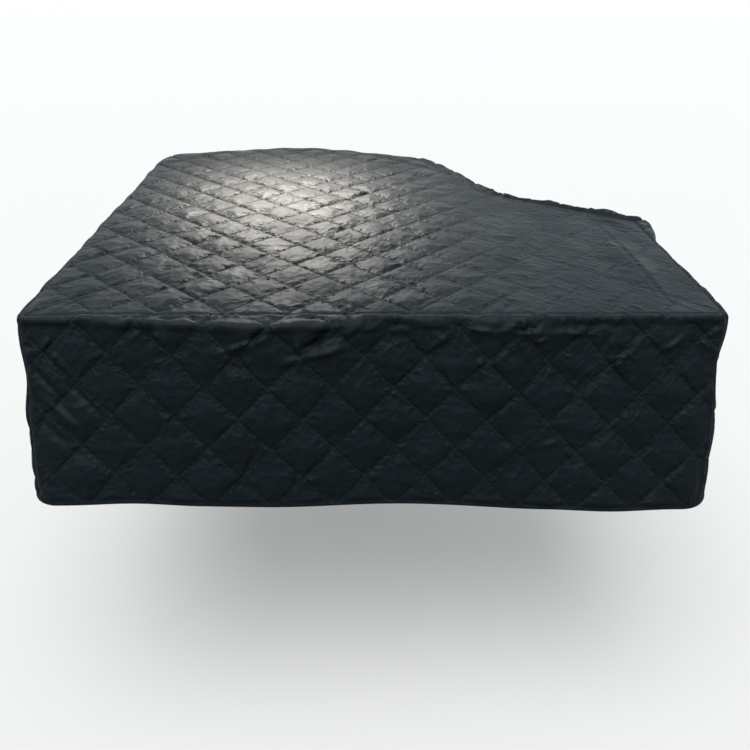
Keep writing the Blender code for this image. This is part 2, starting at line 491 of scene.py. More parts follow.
@dataclass(frozen=True)
class Quilting:
    """Sewn diamonds. Flat places are measured from a crossing of two rows of sewing."""

    diagonal: float = 0.1347
    stitched: float = 0.0016
    loft: float = 0.0062
    flatness: float = 0.55  # 1 for a round pillow, less for one that is flat on top
    crisp: float = 0.35  # 0 for round pillows, 1 for ones with flat flanks that meet in creases
    crests: tuple[float, float] = (0.56, 0.40)  # where the flanks meet, across each family
    crest_limits: tuple[float, float] = (0.24, 0.76)
    crest_drift: float = 0.10  # how far that varies from diamond to diamond
    lean: float = 0.42  # how far a round pillow's highest point varies
    fill_spread: float = 0.16  # how much more or less filling a diamond holds
    sharpness: float = 9.0  # of the edges where the flanks meet
    draws: int = 64  # the rows after which a diamond's filling repeats
    jitter: float = 0.45  # how far a gather may stray along its row, in parts of the gap
    margin: float = 0.03  # how far outside the cut a gather may start

    @property
    def side(self) -> float:
        """The distance between two neighbouring rows of sewing."""
        return self.diagonal / math.sqrt(2.0)

    def off_rows(self, flat: Array) -> tuple[Array, Array]:
        """Give the distance to the nearest row of each of the two families.

        Args:
            flat: Places on the cut.

        Returns:
            Two distances for each place.
        """
        found = []
        for across in (flat[:, 0] - flat[:, 1], flat[:, 0] + flat[:, 1]):
            turns = across / self.diagonal
            found.append(np.abs(turns - np.round(turns)) * self.side)
        return found[0], found[1]

    def puff(self, flat: Array, seed: int = 0) -> Array:
        """Give the filling's share of its full height: 0 on the sewing, about 1 in the middle.

        Args:
            flat: Places on the cut.
            seed: The number that fixes how each diamond's filling has shifted; 0 for not at all.

        Returns:
            The share at each place.
        """
        across = [
            (flat[:, 0] - flat[:, 1]) / self.diagonal,
            (flat[:, 0] + flat[:, 1]) / self.diagonal,
        ]
        number = [np.floor(turns).astype(int) for turns in across]
        spot = (number[0] % self.draws, number[1] % self.draws)
        size = (3, self.draws, self.draws)
        draw = np.random.default_rng(seed).normal(0.0, 1.0 if seed else 0.0, size)
        pillow = np.ones(len(flat))
        flanks = np.zeros(len(flat))
        for turns, whole, drift, crest in zip(across, number, draw[:2], self.crests, strict=True):
            share = np.clip(turns - whole, 0.0, 1.0)
            pillow *= np.sin(math.pi * share ** (2.0 ** (self.lean * drift[spot])))
            middle = np.clip(crest + self.crest_drift * drift[spot], *self.crest_limits)
            flanks += np.exp(-self.sharpness * share / middle)
            flanks += np.exp(-self.sharpness * (1.0 - share) / (1.0 - middle))
        roof = np.maximum(-np.log(flanks), 0.0) / (self.sharpness - math.log(4.0))
        pillow = np.maximum(pillow, 0.0) ** self.flatness
        fullness = 1.0 + self.fill_spread * draw[2][spot]
        return (pillow + (roof - pillow) * self.crisp) * fullness

    def row_points(self, low: Array, high: Array, gap: float, draw: np.random.Generator) -> Array:
        """Scatter points along every row of sewing within a box.

        Args:
            low: The box's lowest corner.
            high: Its highest corner.
            gap: The usual distance between points.
            draw: The source of chance.

        Returns:
            For each point its x and y, and the direction of its row.
        """
        reach = float(np.abs(np.stack([low, high])).sum(axis=1).max()) + self.diagonal
        rows = np.arange(-math.ceil(reach / self.diagonal), math.ceil(reach / self.diagonal) + 1)
        steps = np.arange(-reach, reach, gap)
        found = []
        for side in (-1.0, 1.0):
            row, step = (grid.ravel() for grid in np.meshgrid(rows, steps))
            step = step + draw.uniform(-self.jitter, self.jitter, len(step)) * gap
            x = row * self.diagonal / 2 + step / math.sqrt(2.0)
            y = side * (row * self.diagonal / 2 - step / math.sqrt(2.0))
            found.append(np.stack([x, y, np.full(len(x), -side * math.pi / 4)], axis=1))
        points = np.concatenate(found)
        above = points[:, :2] > low - self.margin
        below = points[:, :2] < high + self.margin
        return points[np.all(above & below, axis=1)]


@dataclass(frozen=True)
class Gathers:
    """The small creases that run out from the rows of sewing into the diamonds."""

    gap: float = 0.014
    turn_spread: float = 0.50
    lengths: tuple[float, float] = (0.016, 0.046)
    reaches: tuple[float, float] = (0.0060, 0.0110)
    height_spread: float = 0.40
    ridges: float = 0.72  # the share that stand up; the others are troughs
    trough: float = -0.8
    peak: float = 0.28
    clump_size: float = 0.13
    clump_mean: float = 0.8
    clump_change: float = 0.55
    clump_limits: tuple[float, float] = (0.15, 2.0)

    def scatter(self, quilting: Quilting, cut: Array, seed: int, height: float) -> Wrinkles:
        """Draw the gathers of one piece.

        Args:
            quilting: The quilting whose rows they follow.
            cut: Flat places all over the piece.
            seed: The number that fixes the draw.
            height: Their usual height.

        Returns:
            The gathers.
        """
        draw = np.random.default_rng(seed)
        points = quilting.row_points(cut.min(axis=0), cut.max(axis=0), self.gap, draw)
        count = len(points)
        side = draw.choice([-1.0, 1.0], count)
        angles = points[:, 2] + side * math.pi / 2 + draw.normal(0.0, self.turn_spread, count)
        change = self.clump_change * Unevenness(seed + 1, self.clump_size).at(points[:, :2])
        clump = np.clip(self.clump_mean + change, *self.clump_limits)
        sign = np.where(draw.uniform(0.0, 1.0, count) < self.ridges, 1.0, self.trough)
        return Wrinkles(
            points[:, :2],
            angles,
            draw.uniform(*self.lengths, count),
            draw.uniform(*self.reaches, count),
            height * sign * clump * np.exp(draw.normal(0.0, self.height_spread, count)),
            self.peak,
        )


@dataclass(frozen=True)
class Stars:
    """The longer creases that run from the crossings of the rows into the diamonds."""

    points: int = 4
    turn_spread: float = 0.33
    lengths: tuple[float, float] = (0.034, 0.078)
    reaches: tuple[float, float] = (0.009, 0.017)
    height_spread: float = 0.5
    signs: tuple[float, ...] = (1.0, 1.0, -0.7)  # two ridges for each trough
    peak: float = 0.22

    def scatter(self, quilting: Quilting, cut: Array, seed: int, height: float) -> Wrinkles:
        """Draw the creases of one piece.

        Args:
            quilting: The quilting whose crossings they leave.
            cut: Flat places all over the piece.
            seed: The number that fixes the draw.
            height: Their usual height.

        Returns:
            The creases.
        """
        draw = np.random.default_rng(seed)
        half = quilting.diagonal / 2
        first = np.floor(cut.min(axis=0) / half).astype(int)
        last = np.ceil(cut.max(axis=0) / half).astype(int)
        spots = np.stack(
            np.meshgrid(np.arange(first[0], last[0] + 1), np.arange(first[1], last[1] + 1)), axis=-1
        ).reshape(-1, 2)
        spots = np.repeat(spots[(spots.sum(axis=1) % 2) == 0] * half, self.points, axis=0)
        count = len(spots)
        even = np.tile(np.arange(self.points) * math.pi / 2, count // self.points)
        return Wrinkles(
            spots,
            even + draw.normal(0.0, self.turn_spread, count),
            draw.uniform(*self.lengths, count),
            draw.uniform(*self.reaches, count),
            height
            * np.exp(draw.normal(0.0, self.height_spread, count))
            * draw.choice(self.signs, count),
            self.peak,
        )


@dataclass
class FlatCut:
    """A flat cut of cloth. Its sides run counterclockwise, each from its first to last point."""

    sides: list[Array]
    quilting: Quilting
    insets: tuple[float, ...] = (0.0011, 0.0027)  # of the rings of points inside the outline
    room: float = 0.55  # in parts of the grid's spacing, from the last ring to the grid
    sharpest: float = 0.4  # limits how far a corner's point moves in

    def outline(self, step: float) -> Array:
        """Walk round the cut in even steps that keep its corners.

        Args:
            step: The distance wanted between points.

        Returns:
            The points, the last one a step before the first.
        """
        found = []
        for side in self.sides:
            lengths = np.linalg.norm(np.diff(side, axis=0), axis=1)
            passed = np.concatenate([[0.0], np.cumsum(lengths)])
            count = max(int(round(passed[-1] / step)), 1)
            wanted = np.linspace(0.0, passed[-1], count + 1)[:-1]
            found.append(
                np.stack([np.interp(wanted, passed, side[:, k]) for k in (0, 1)], axis=1)
            )
        return np.concatenate(found)

    @staticmethod
    def inset(outline: Array, distance: float) -> Array:
        """Move every point of an outline inward, square to its neighbours.

        Args:
            outline: The points, counterclockwise.
            distance: How far inward.

        Returns:
            The moved points.
        """
        before = outline - np.roll(outline, 1, axis=0)
        after = np.roll(outline, -1, axis=0) - outline
        before /= np.linalg.norm(before, axis=1)[:, None]
        after /= np.linalg.norm(after, axis=1)[:, None]
        inward_a = np.stack([-before[:, 1], before[:, 0]], axis=1)
        inward_b = np.stack([-after[:, 1], after[:, 0]], axis=1)
        middle = inward_a + inward_b
        square = np.maximum((middle * inward_a).sum(axis=1), FlatCut.sharpest)
        return outline + middle * (distance / square)[:, None]

    @staticmethod
    def holds(outline: Array, points: Array) -> Array:
        """Tell which points lie inside an outline.

        Args:
            outline: The points round it.
            points: The points asked about.

        Returns:
            True for each one inside.
        """
        inside = np.zeros(len(points), bool)
        after = np.roll(outline, -1, axis=0)
        for (ax, ay), (bx, by) in zip(outline, after, strict=True):
            if ay == by:
                continue
            crosses = (ay > points[:, 1]) != (by > points[:, 1])
            rows = np.flatnonzero(crosses)
            cut = ax + (points[rows, 1] - ay) * (bx - ax) / (by - ay)
            inside[rows[points[rows, 0] < cut]] ^= True
        return inside

    def mesh(self, outline: Array, cells: int) -> tuple[Array, Array]:
        """Fill the cut with triangles on a square grid whose diagonals follow the sewing.

        Args:
            outline: The points round the cut, which become the first points of the mesh.
            cells: The number of grid cells in half a diamond's diagonal.

        Returns:
            Flat points and triangles.
        """
        pitch = self.quilting.diagonal / 2 / cells
        rings = [outline] + [self.inset(outline, distance) for distance in self.insets]
        count = len(outline)
        low = np.floor(outline.min(axis=0) / pitch).astype(int)
        high = np.ceil(outline.max(axis=0) / pitch).astype(int)
        columns, rows = np.arange(low[0], high[0] + 1), np.arange(low[1], high[1] + 1)
        room = self.inset(outline, self.insets[-1] + self.room * pitch)
        grid = np.stack(np.meshgrid(columns, rows, indexing="ij"), axis=-1).reshape(-1, 2)
        kept = self.holds(room, grid * pitch + NUDGE).reshape(len(columns), len(rows))
        full = kept[:-1, :-1] & kept[1:, :-1] & kept[:-1, 1:] & kept[1:, 1:]

        used = np.zeros_like(kept)
        for right in (0, 1):
            for up in (0, 1):
                used[right : right + full.shape[0], up : up + full.shape[1]] |= full
        numbers = np.full(used.shape, -1)
        numbers[used] = np.arange(used.sum()) + count * len(rings)
        inner = grid.reshape(*used.shape, 2)[used] * pitch
        points = np.concatenate([*rings, inner])

        triangles = self.squares(numbers, full, low, cells)
        for level in range(len(rings) - 1):
            near = np.arange(count) + level * count
            after = np.roll(near, -1)
            triangles.append(np.stack([near, after, after + count], axis=1))
            triangles.append(np.stack([near, after + count, near + count], axis=1))
        last = np.arange(count) + (len(rings) - 1) * count
        triangles.append(self.border(points, last, numbers, full, low, pitch))
        return points, np.concatenate(triangles)

    @staticmethod
    def squares(numbers: Array, full: Array, low: Array, cells: int) -> list[Array]:
        """Halve the grid's squares along the rows of sewing, and elsewhere turn and turn about.

        Args:
            numbers: The number of each grid point.
            full: Which squares are filled.
            low: The grid's first column and row.
            cells: The number of squares in half a diamond's diagonal.

        Returns:
            The two halves of every square.
        """
        across, up = np.nonzero(full)
        corner = numbers[across, up]
        right_corner = numbers[across + 1, up]
        upper = numbers[across, up + 1]
        far = numbers[across + 1, up + 1]
        place_x, place_y = across + low[0], up + low[1]
        falling = (place_x + place_y + 1) % (2 * cells) == 0
        rising = (place_x - place_y) % (2 * cells) == 0
        falling |= ~rising & ((place_x + place_y) % 2 == 0)
        first = np.where(
            falling[:, None],
            np.stack([corner, right_corner, upper], axis=1),
            np.stack([corner, right_corner, far], axis=1),
        )
        second = np.where(
            falling[:, None],
            np.stack([right_corner, far, upper], axis=1),
            np.stack([corner, far, upper], axis=1),
        )
        return [first, second]

    def border(
        self, points: Array, last: Array, numbers: Array, full: Array, low: Array, pitch: float
    ) -> Array:
        """Join the innermost ring to the stepped edge of the grid.

        Args:
            points: All flat points.
            last: The numbers of the innermost ring's points, in order.
            numbers: The number of each grid point, or -1.
            full: Which grid cells are filled.
            low: The grid's first column and row.
            pitch: The grid's spacing.

        Returns:
            The triangles between them.
        """
        framed = np.pad(full, 1)
        edges = []
        column, row = np.nonzero(framed[1:-1, 1:] != framed[1:-1, :-1])
        edges.append(np.stack([numbers[column, row], numbers[column + 1, row]], axis=1))
        column, row = np.nonzero(framed[1:, 1:-1] != framed[:-1, 1:-1])
        edges.append(np.stack([numbers[column, row], numbers[column, row + 1]], axis=1))
        steps = np.concatenate(edges)
        loop = np.stack([last, np.roll(last, -1)], axis=1)
        wanted = np.concatenate([loop, steps])
        names = np.unique(wanted)
        short = np.searchsorted(names, wanted)
        spots = [Vector(point) for point in points[names]]
        found = delaunay_2d_cdt(spots, [tuple(pair) for pair in short.tolist()], [], 0, JOINED)
        source = np.array([items[0] if items else -1 for items in found[3]])
        faces = np.array([list(face) for face in found[2]])
        faces = names[source[faces]]
        one, other = (points[faces[:, k]] - points[faces[:, 0]] for k in (1, 2))
        faces = faces[one[:, 0] * other[:, 1] - one[:, 1] * other[:, 0] > SLIVER]
        middle = points[faces].mean(axis=1)
        cell = np.floor(middle / pitch).astype(int) - low
        cell = np.clip(cell, 0, np.array(full.shape) - 1)
        open_cell = ~full[cell[:, 0], cell[:, 1]]
        return faces[open_cell & self.holds(points[last], middle)]


# ---------------- settling the cloth


@dataclass
class Settling:
    """Lets cloth that is longer than the way between its sewing puff up and pucker.

    In each round every edge of the mesh is drawn towards its own length, the filling and a soft
    pressure push the cloth out, its stiffness rounds what would be sharp, and the rows of sewing
    hold it down.
    """

    rounds: int = 36
    pressure: float = 0.00001
    stiffness: float = 0.012
    filling: float = 0.05
    give: float = 1.25
    firmness: float = 0.8  # how far each round brings a held point back

    @staticmethod
    def normals(points: Array, triangles: Array) -> Array:
        """Give every point the mean direction of the triangles round it.

        Args:
            points: The points of the mesh.
            triangles: Its triangles.

        Returns:
            A direction of length 1 for each point.
        """
        a, b, c = (points[triangles[:, k]] for k in range(3))
        face = np.cross(b - a, c - a)
        total = np.zeros_like(points)
        for corner in range(3):
            for axis in range(3):
                total[:, axis] += np.bincount(
                    triangles[:, corner], face[:, axis], minlength=len(points)
                )
        return total / np.maximum(np.linalg.norm(total, axis=1), TINY)[:, None]

    @staticmethod
    def pairs(triangles: Array) -> Array:
        """List every edge of the mesh once.

        Args:
            triangles: The mesh.

        Returns:
            The two ends of each edge.
        """
        edges = np.concatenate([triangles[:, [0, 1]], triangles[:, [1, 2]], triangles[:, [2, 0]]])
        edges.sort(axis=1)
        key = edges[:, 0].astype(np.int64) * (triangles.max() + 1) + edges[:, 1]
        return edges[np.unique(key, return_index=True)[1]]

    def run(
        self,
        base: Array,
        triangles: Array,
        start: Array,
        longer: Array,
        hold: Array,
        push: Array,
        lowest: Array,
    ) -> Array:
        """Settle the cloth.

        Args:
            base: Points of the surface that the cloth lies on.
            triangles: The mesh.
            start: Each point's height off that surface to begin with, where held points stay.
            longer: By what share the cloth is longer than where it starts, at each point.
            hold: How firmly each point is held where it starts, from 0 to 1.
            push: The share of the pressure that each point feels.
            lowest: How far down each point may go.

        Returns:
            The settled points.
        """
        out = self.normals(base, triangles)
        target = base + out * start[:, None]
        now = target.copy()
        pairs = self.pairs(triangles)
        first, second = pairs[:, 0], pairs[:, 1]
        length = np.linalg.norm(target[second] - target[first], axis=1)
        length *= 1.0 + (longer[first] + longer[second]) / 2
        ends = np.concatenate([first, second])
        touching = np.bincount(ends, minlength=len(base))[:, None]
        free = (1.0 - hold)[:, None]
        for _ in range(self.rounds):
            gap = now[second] - now[first]
            far = np.sqrt((gap * gap).sum(axis=1))
            pull = gap * ((far - length) / far * 0.5)[:, None]
            moved = np.stack(
                [
                    np.bincount(first, pull[:, k], minlength=len(base))
                    - np.bincount(second, pull[:, k], minlength=len(base))
                    for k in range(3)
                ],
                axis=1,
            )
            now += moved / touching * (2.0 * self.give) * free
            height = ((now - base) * out).sum(axis=1)
            mean = np.bincount(first, height[second], minlength=len(base))
            mean += np.bincount(second, height[first], minlength=len(base))
            mean /= touching[:, 0]
            rise = (mean - height) * self.stiffness + (start - height) * self.filling * push
            rise += self.pressure * push
            now += out * (rise * free[:, 0])[:, None]
            now += (target - now) * (hold * self.firmness)[:, None]
            now += out * np.maximum(lowest - ((now - base) * out).sum(axis=1), 0.0)[:, None]
        return now


# ---------------- a piece of quilted cloth


@dataclass(frozen=True)
class Crease:
    """A soft ridge or trough that was pressed or pulled into the cloth, on the plan or cut."""

    x0: float
    y0: float
    x1: float
    y1: float
    height: float
    reach: float
    taper: float = 0.5

    def at(self, flat: Array) -> Array:
        """Give the crease's height at flat places.

        Args:
            flat: Places on the plan or the cut.

        Returns:
            The height at each place.
        """
        start = np.array([self.x0, self.y0])
        way = np.array([self.x1, self.y1]) - start
        share = ((flat - start) @ way) / float(way @ way)
        off = np.linalg.norm(flat - start - share[:, None] * way, axis=1)
        along = smooth(np.minimum(share, 1.0 - share) / self.taper)
        return self.height * along * swell(off / self.reach)


def crease_table(*rows: tuple[float, ...]) -> tuple[Crease, ...]:
    """Make creases from their ends' x and y, height and reach in millimetres, and any taper."""
    return tuple(Crease(*(size * MM for size in row[:6]), *row[6:]) for row in rows)


@dataclass(frozen=True)
class Pull:
    """A patch of cloth drawn one way, so that it shows many creases in about one direction."""

    seed: int
    count: int
    low: tuple[float, float]
    high: tuple[float, float]
    angle: float
    spread: float
    lengths: tuple[float, float]
    reaches: tuple[float, float]
    height: float
    signs: tuple[float, ...] = (1.0, 1.0, -0.7)  # two ridges for each trough
    heights: tuple[float, float] = (0.4, 1.2)  # in parts of the height

    def wrinkles(self, seed: int, origin: Array) -> Wrinkles:
        """Scatter the patch's creases.

        Args:
            seed: The piece's own number.
            origin: Where the flat cut's zero lies in the plan.

        Returns:
            The creases, on the flat cut.
        """
        draw = np.random.default_rng(seed * 100 + self.seed)
        return Wrinkles(
            draw.uniform(self.low, self.high, (self.count, 2)) - origin,
            np.radians(draw.normal(self.angle, self.spread, self.count)),
            draw.uniform(*self.lengths, self.count),
            draw.uniform(*self.reaches, self.count),
            self.height
            * draw.choice(self.signs, self.count)
            * draw.uniform(*self.heights, self.count),
        )


@dataclass(frozen=True)
class Hem:
    """The edge turned under and stitched along the foot of the skirt."""

    width: float = 0.010
    fade: float = 0.003  # over which it runs out into the quilting
    height: float = 0.0030
    sewn: float = 0.0095  # how far up its stitches are
    dip: float = 0.0016  # how deep they pull it in
    dip_reach: float = 0.0028
    rim: float = 0.0024  # how far up its lower edge is rounded
    drop: float = 0.0022
    under_width: float = 0.012
    under_drop: float = 0.0006
    under_sink: float = 0.0002

    def rounding(self, above: Array) -> Array:
        """Give 1 at the lower edge, and 0 where its rounding ends."""
        return (1.0 - smooth(above / self.rim)) ** 2

    def over(self, height: Array, above: Array) -> Array:
        """Put the hem's outer face in place of the quilting.

        Args:
            height: The quilting's height at each place.
            above: How far each place is above the lower edge.

        Returns:
            The height at each place.
        """
        band = self.height - self.dip * swell((above - self.sewn) / self.dip_reach)
        band -= self.drop * self.rounding(above)
        turned = band + (height - band) * smooth((above - self.width) / self.fade)
        return np.where(above < self.width + self.fade, turned, height)

    def under(self, depth: Array, above: Array) -> Array:
        """Put the hem's inner face in place of the quilting, by the height above its edge."""
        rim = self.under_drop * self.rounding(above) - self.under_sink
        return np.where(above < self.under_width, rim, depth)


@dataclass
class Panel:
    """One piece of the cover: an outer and an inner face of quilted cloth, closed all round."""

    node: str
    cells: int  # grid squares in half a diamond's diagonal, on the outer face
    inner_cells: int
    seed: int
    held: Held = Held.FROM_SEAM
    quilting: Quilting = field(default_factory=Quilting)
    turned: Hem = field(default_factory=Hem)
    step: float = 0.0048  # between the points round the cut
    gather: float = 0.0020  # the usual height of a gather
    star_share: float = 1.4  # the height of a crossing's crease, in parts of that
    ripple: float = 0.0004
    ripple_size: float = 0.05
    row_edge: float = 0.0010  # how far the sewing itself reaches from the middle of its row
    row_rise: float = 0.0075  # over which gathers beside it reach their height
    row_hold: float = 0.0034  # how far it holds the cloth down
    row_firmness: float = 0.95
    row_push: float = 0.012  # from the row to where the filling pushes in full
    seam_hold: float = 0.007
    held_edge: tuple[float, float] = (0.002, 0.006)  # the seam's hold: where it fades, over what
    hem_fade: float = 0.004
    seam_depth: float = 0.0036
    seam_edge: float = 0.001  # the dip goes on this far past the seam
    seam_turn: float = 0.006  # over which the cloth turns down into its seam
    seam_fullness: float = 0.35  # the share of the full loft beside the seam
    seam_roll: float = 0.0  # the height of the roll of cloth beside the seam
    roll_reach: float = 0.012
    roll_change: float = 0.4  # how uneven the roll is
    roll_size: float = 0.09
    pillow_rest: float = 0.090  # from the seam to where the pillows are full
    gather_rest: float = 0.030  # and to where the gathers are
    off_lid: float = 0.0009  # how near the outer face may come to the lid
    inner_loft: float = 0.0024
    inner_rest: float = 0.016
    inner_rise: float = 0.0010
    inner_lowest: float = -0.0030  # how far its quilting presses the inner face down on the lid
    crossing: tuple[float, float] = (0.0, 0.0)  # where two rows of sewing cross, from its zero
    bolt: int = 0
    pressed: tuple[Crease, ...] = ()
    pulls: tuple[Pull, ...] = ()
    rests_on: tuple[str, ...] = ()

    def cut(self) -> FlatCut:
        """Give the flat cut. Each kind of piece has its own."""
        raise NotImplementedError

    def lay(self, flat: Array) -> Array:
        """Lay flat places on the surface where the cloth hangs."""
        raise NotImplementedError

    def edge_distance(self, flat: Array) -> tuple[Array, Array]:
        """Give the distance inside the nearest seam, and above the hem."""
        raise NotImplementedError

    def extra_length(self, flat: Array) -> Array:
        """Say by what share the cloth is longer than what it lies on."""
        raise NotImplementedError

    def creases(self, flat: Array) -> Array:
        """Give the height of the listed creases, measured from the piece's own zero."""
        place = flat + np.array(self.crossing)
        return sum((crease.at(place) for crease in self.pressed), np.zeros(len(flat)))

    def by_edge(self, seam: Array, hem: Array) -> Array:
        """Give 1 inside the piece, and less near its seam and its hem, where nothing stands up."""
        hem_width = self.turned.width
        return smooth(seam / self.seam_hold) * smooth((hem - hem_width) / hem_width)

    def seam_dip(self, seam: Array) -> Array:
        """Give how far the cloth turns down into its seam."""
        return self.seam_depth * (1.0 - smooth((seam + self.seam_edge) / self.seam_turn))

    def relief(self, flat: Array, seam: Array, hem: Array, sewn: Array) -> Array:
        """Give the outer face's height before it settles.

        Args:
            flat: Places on the cut.
            seam: Their distances inside the nearest seam.
            hem: Their distances above the hem.
            sewn: Their distances from the nearest row of sewing.

        Returns:
            The height at each place.
        """
        by_edge = self.by_edge(seam, hem)
        full, gathered = self.fullness(flat)
        beside = self.seam_fullness
        full = full * (beside + (1.0 - beside) * smooth(seam / self.pillow_rest))
        gathered = gathered * smooth(seam / self.gather_rest)
        puff = self.quilting.puff(flat, self.seed) * by_edge
        height = self.quilting.stitched + puff * self.quilting.loft * full
        off_sewing = smooth((sewn - self.row_edge) / self.row_rise) * by_edge
        height += (self.wrinkles(flat) * gathered + self.drawn(flat)) * off_sewing
        change = self.roll_change * Unevenness(self.seed + 6, self.roll_size).at(flat)
        roll = np.maximum(self.seam_roll * (1.0 + change), 0.0)
        height += roll * swell((seam - self.roll_reach - self.seam_edge) / self.roll_reach)
        height -= self.seam_dip(seam)
        return self.turned.over(height, hem) + self.creases(flat) * by_edge

    def holding(self, seam: Array, hem: Array, sewn: Array) -> Array:
        """Say how firmly the sewing, the seam and the hem hold the cloth down.

        Args:
            seam: Distances inside the nearest seam.
            hem: Distances above the hem.
            sewn: Distances from the nearest row of sewing.

        Returns:
            From 0 to 1 for each place.
        """
        hold = self.row_firmness * swell(sewn / self.row_hold)
        edge, fade = self.held_edge
        hold = np.maximum(hold, 1.0 - smooth((seam - edge) / fade))
        return np.maximum(hold, 1.0 - smooth((hem - self.turned.width) / self.hem_fade))

    def outer_face(self, outline: Array) -> tuple[Array, Array, Array]:
        """Make the outer face.

        Args:
            outline: The points round the cut.

        Returns:
            Flat places, settled points and triangles.
        """
        flat, triangles = self.cut().mesh(outline, self.cells)
        base = self.lay(flat)
        seam, hem = self.edge_distance(flat)
        sewn = np.minimum(*self.quilting.off_rows(flat))
        start = self.relief(flat, seam, hem, sewn)
        push = self.by_edge(seam, hem) * smooth(sewn / self.row_push)
        lowest = start
        if self.held is Held.ON_LID:
            lowest = np.where(seam < self.seam_hold, start, self.off_lid)
        longer, hold = self.extra_length(flat), self.holding(seam, hem, sewn)
        points = Settling().run(base, triangles, start, longer, hold, push, lowest)
        return flat, points, triangles

    def fullness(self, flat: Array) -> tuple[Array, Array]:
        """Give the shares of the full loft and of the full gathers at flat places."""
        ones = np.ones(len(flat))
        return ones, ones

    def wrinkles(self, flat: Array) -> Array:
        """Give the height of the gathers and creases that the sewing pulls into the cloth.

        Args:
            flat: Places on the cut.

        Returns:
            Their height at each place.
        """
        gathers = Gathers().scatter(self.quilting, flat, self.seed + 1, self.gather)
        longer = self.star_share * self.gather
        stars = Stars().scatter(self.quilting, flat, self.seed + 3, longer)
        total = gathers.at(flat) + stars.at(flat)
        return total + self.ripple * Unevenness(self.seed + 4, self.ripple_size).at(flat)

    def drawn(self, flat: Array) -> Array:
        """Give the height of the longer creases where the cloth's own pull draws it.

        Args:
            flat: Places on the cut.

        Returns:
            Their height at each place.
        """
        total = np.zeros(len(flat))
        for pull in self.pulls:
            total += pull.wrinkles(self.seed, np.array(self.crossing)).at(flat)
        return total

    def inner_face(self, outline: Array) -> tuple[Array, Array, Array]:
        """Make the inner face.

        Args:
            outline: The points round the cut.

        Returns:
            Flat places, points, and triangles that face inward.
        """
        flat, triangles = self.cut().mesh(outline, self.inner_cells)
        base = self.lay(flat)
        seam, hem = self.edge_distance(flat)
        pressed = self.creases(flat)
        puff = self.quilting.puff(flat) * smooth(seam / self.inner_rest)
        depth = self.inner_rise - self.inner_loft * puff - self.seam_dip(seam)
        if self.held is Held.ON_LID:
            depth = np.maximum(depth, self.inner_lowest)
            pressed = np.maximum(pressed, 0.0)
        depth = self.turned.under(depth, hem) + pressed * self.by_edge(seam, hem)
        out = Settling.normals(base, triangles)
        return flat, base + out * depth[:, None], triangles[:, ::-1]

    def build(self, origin: Array, finish: bpy.types.Material) -> bpy.types.Object:
        """Make the piece, put it in its place, attach it to its body and hide the part it stands for.

        Args:
            origin: The front left corner of the top, in the frame.
            finish: The cloth's material.

        Returns:
            The piece.
        """
        cut = self.cut()
        outline = cut.outline(self.step)
        outer_flat, outer, outer_faces = self.outer_face(outline)
        inner_flat, inner, inner_faces = self.inner_face(outline)
        count, shift = len(outline), len(outer)
        near = np.arange(count)
        after = np.roll(near, -1)
        rim = np.concatenate(
            [
                np.stack([near, near + shift, after + shift], axis=1),
                np.stack([near, after + shift, after], axis=1),
            ]
        )
        faces = np.concatenate([outer_faces, inner_faces + shift, rim])
        points = np.concatenate([outer, inner]) + origin
        flat = np.concatenate([outer_flat, inner_flat])
        piece = self.mesh_object(points, faces, flat)
        piece.data.materials.append(finish)
        self.declare(piece)
        LOG.info("%s: %d points, %d triangles", piece.name, len(points), len(faces))
        return piece

    def mesh_object(self, points: Array, faces: Array, flat: Array) -> bpy.types.Object:
        """Make the mesh, with its place on the bolt of cloth in metres as its map.

        Args:
            points: The points, in the frame.
            faces: The triangles.
            flat: The points' places on the cut.

        Returns:
            The piece.
        """
        mesh = bpy.data.meshes.new(self.node + "_quilted")
        mesh.vertices.add(len(points))
        mesh.vertices.foreach_set("co", points.astype(np.float32).ravel())
        mesh.loops.add(faces.size)
        mesh.loops.foreach_set("vertex_index", faces.astype(np.int32).ravel())
        mesh.polygons.add(len(faces))
        mesh.polygons.foreach_set("loop_start", np.arange(0, faces.size, 3, dtype=np.int32))
        mesh.polygons.foreach_set("loop_total", np.full(len(faces), 3, dtype=np.int32))
        mesh.update(calc_edges=True)
        chart = mesh.uv_layers.new(name="cut")
        place = flat + np.array([self.bolt * self.quilting.diagonal, 0.0])
        chart.data.foreach_set("uv", place[faces.ravel()].astype(np.float32).ravel())
        mesh.shade_smooth()
        return put(self.node + "_quilted", mesh)

    def declare(self, piece: bpy.types.Object) -> None:
        """Attach the piece to the body it rides on, and hide the part that it stands for.

        Args:
            piece: The piece.
        """
        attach(piece, BODY)
        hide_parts(self.node)


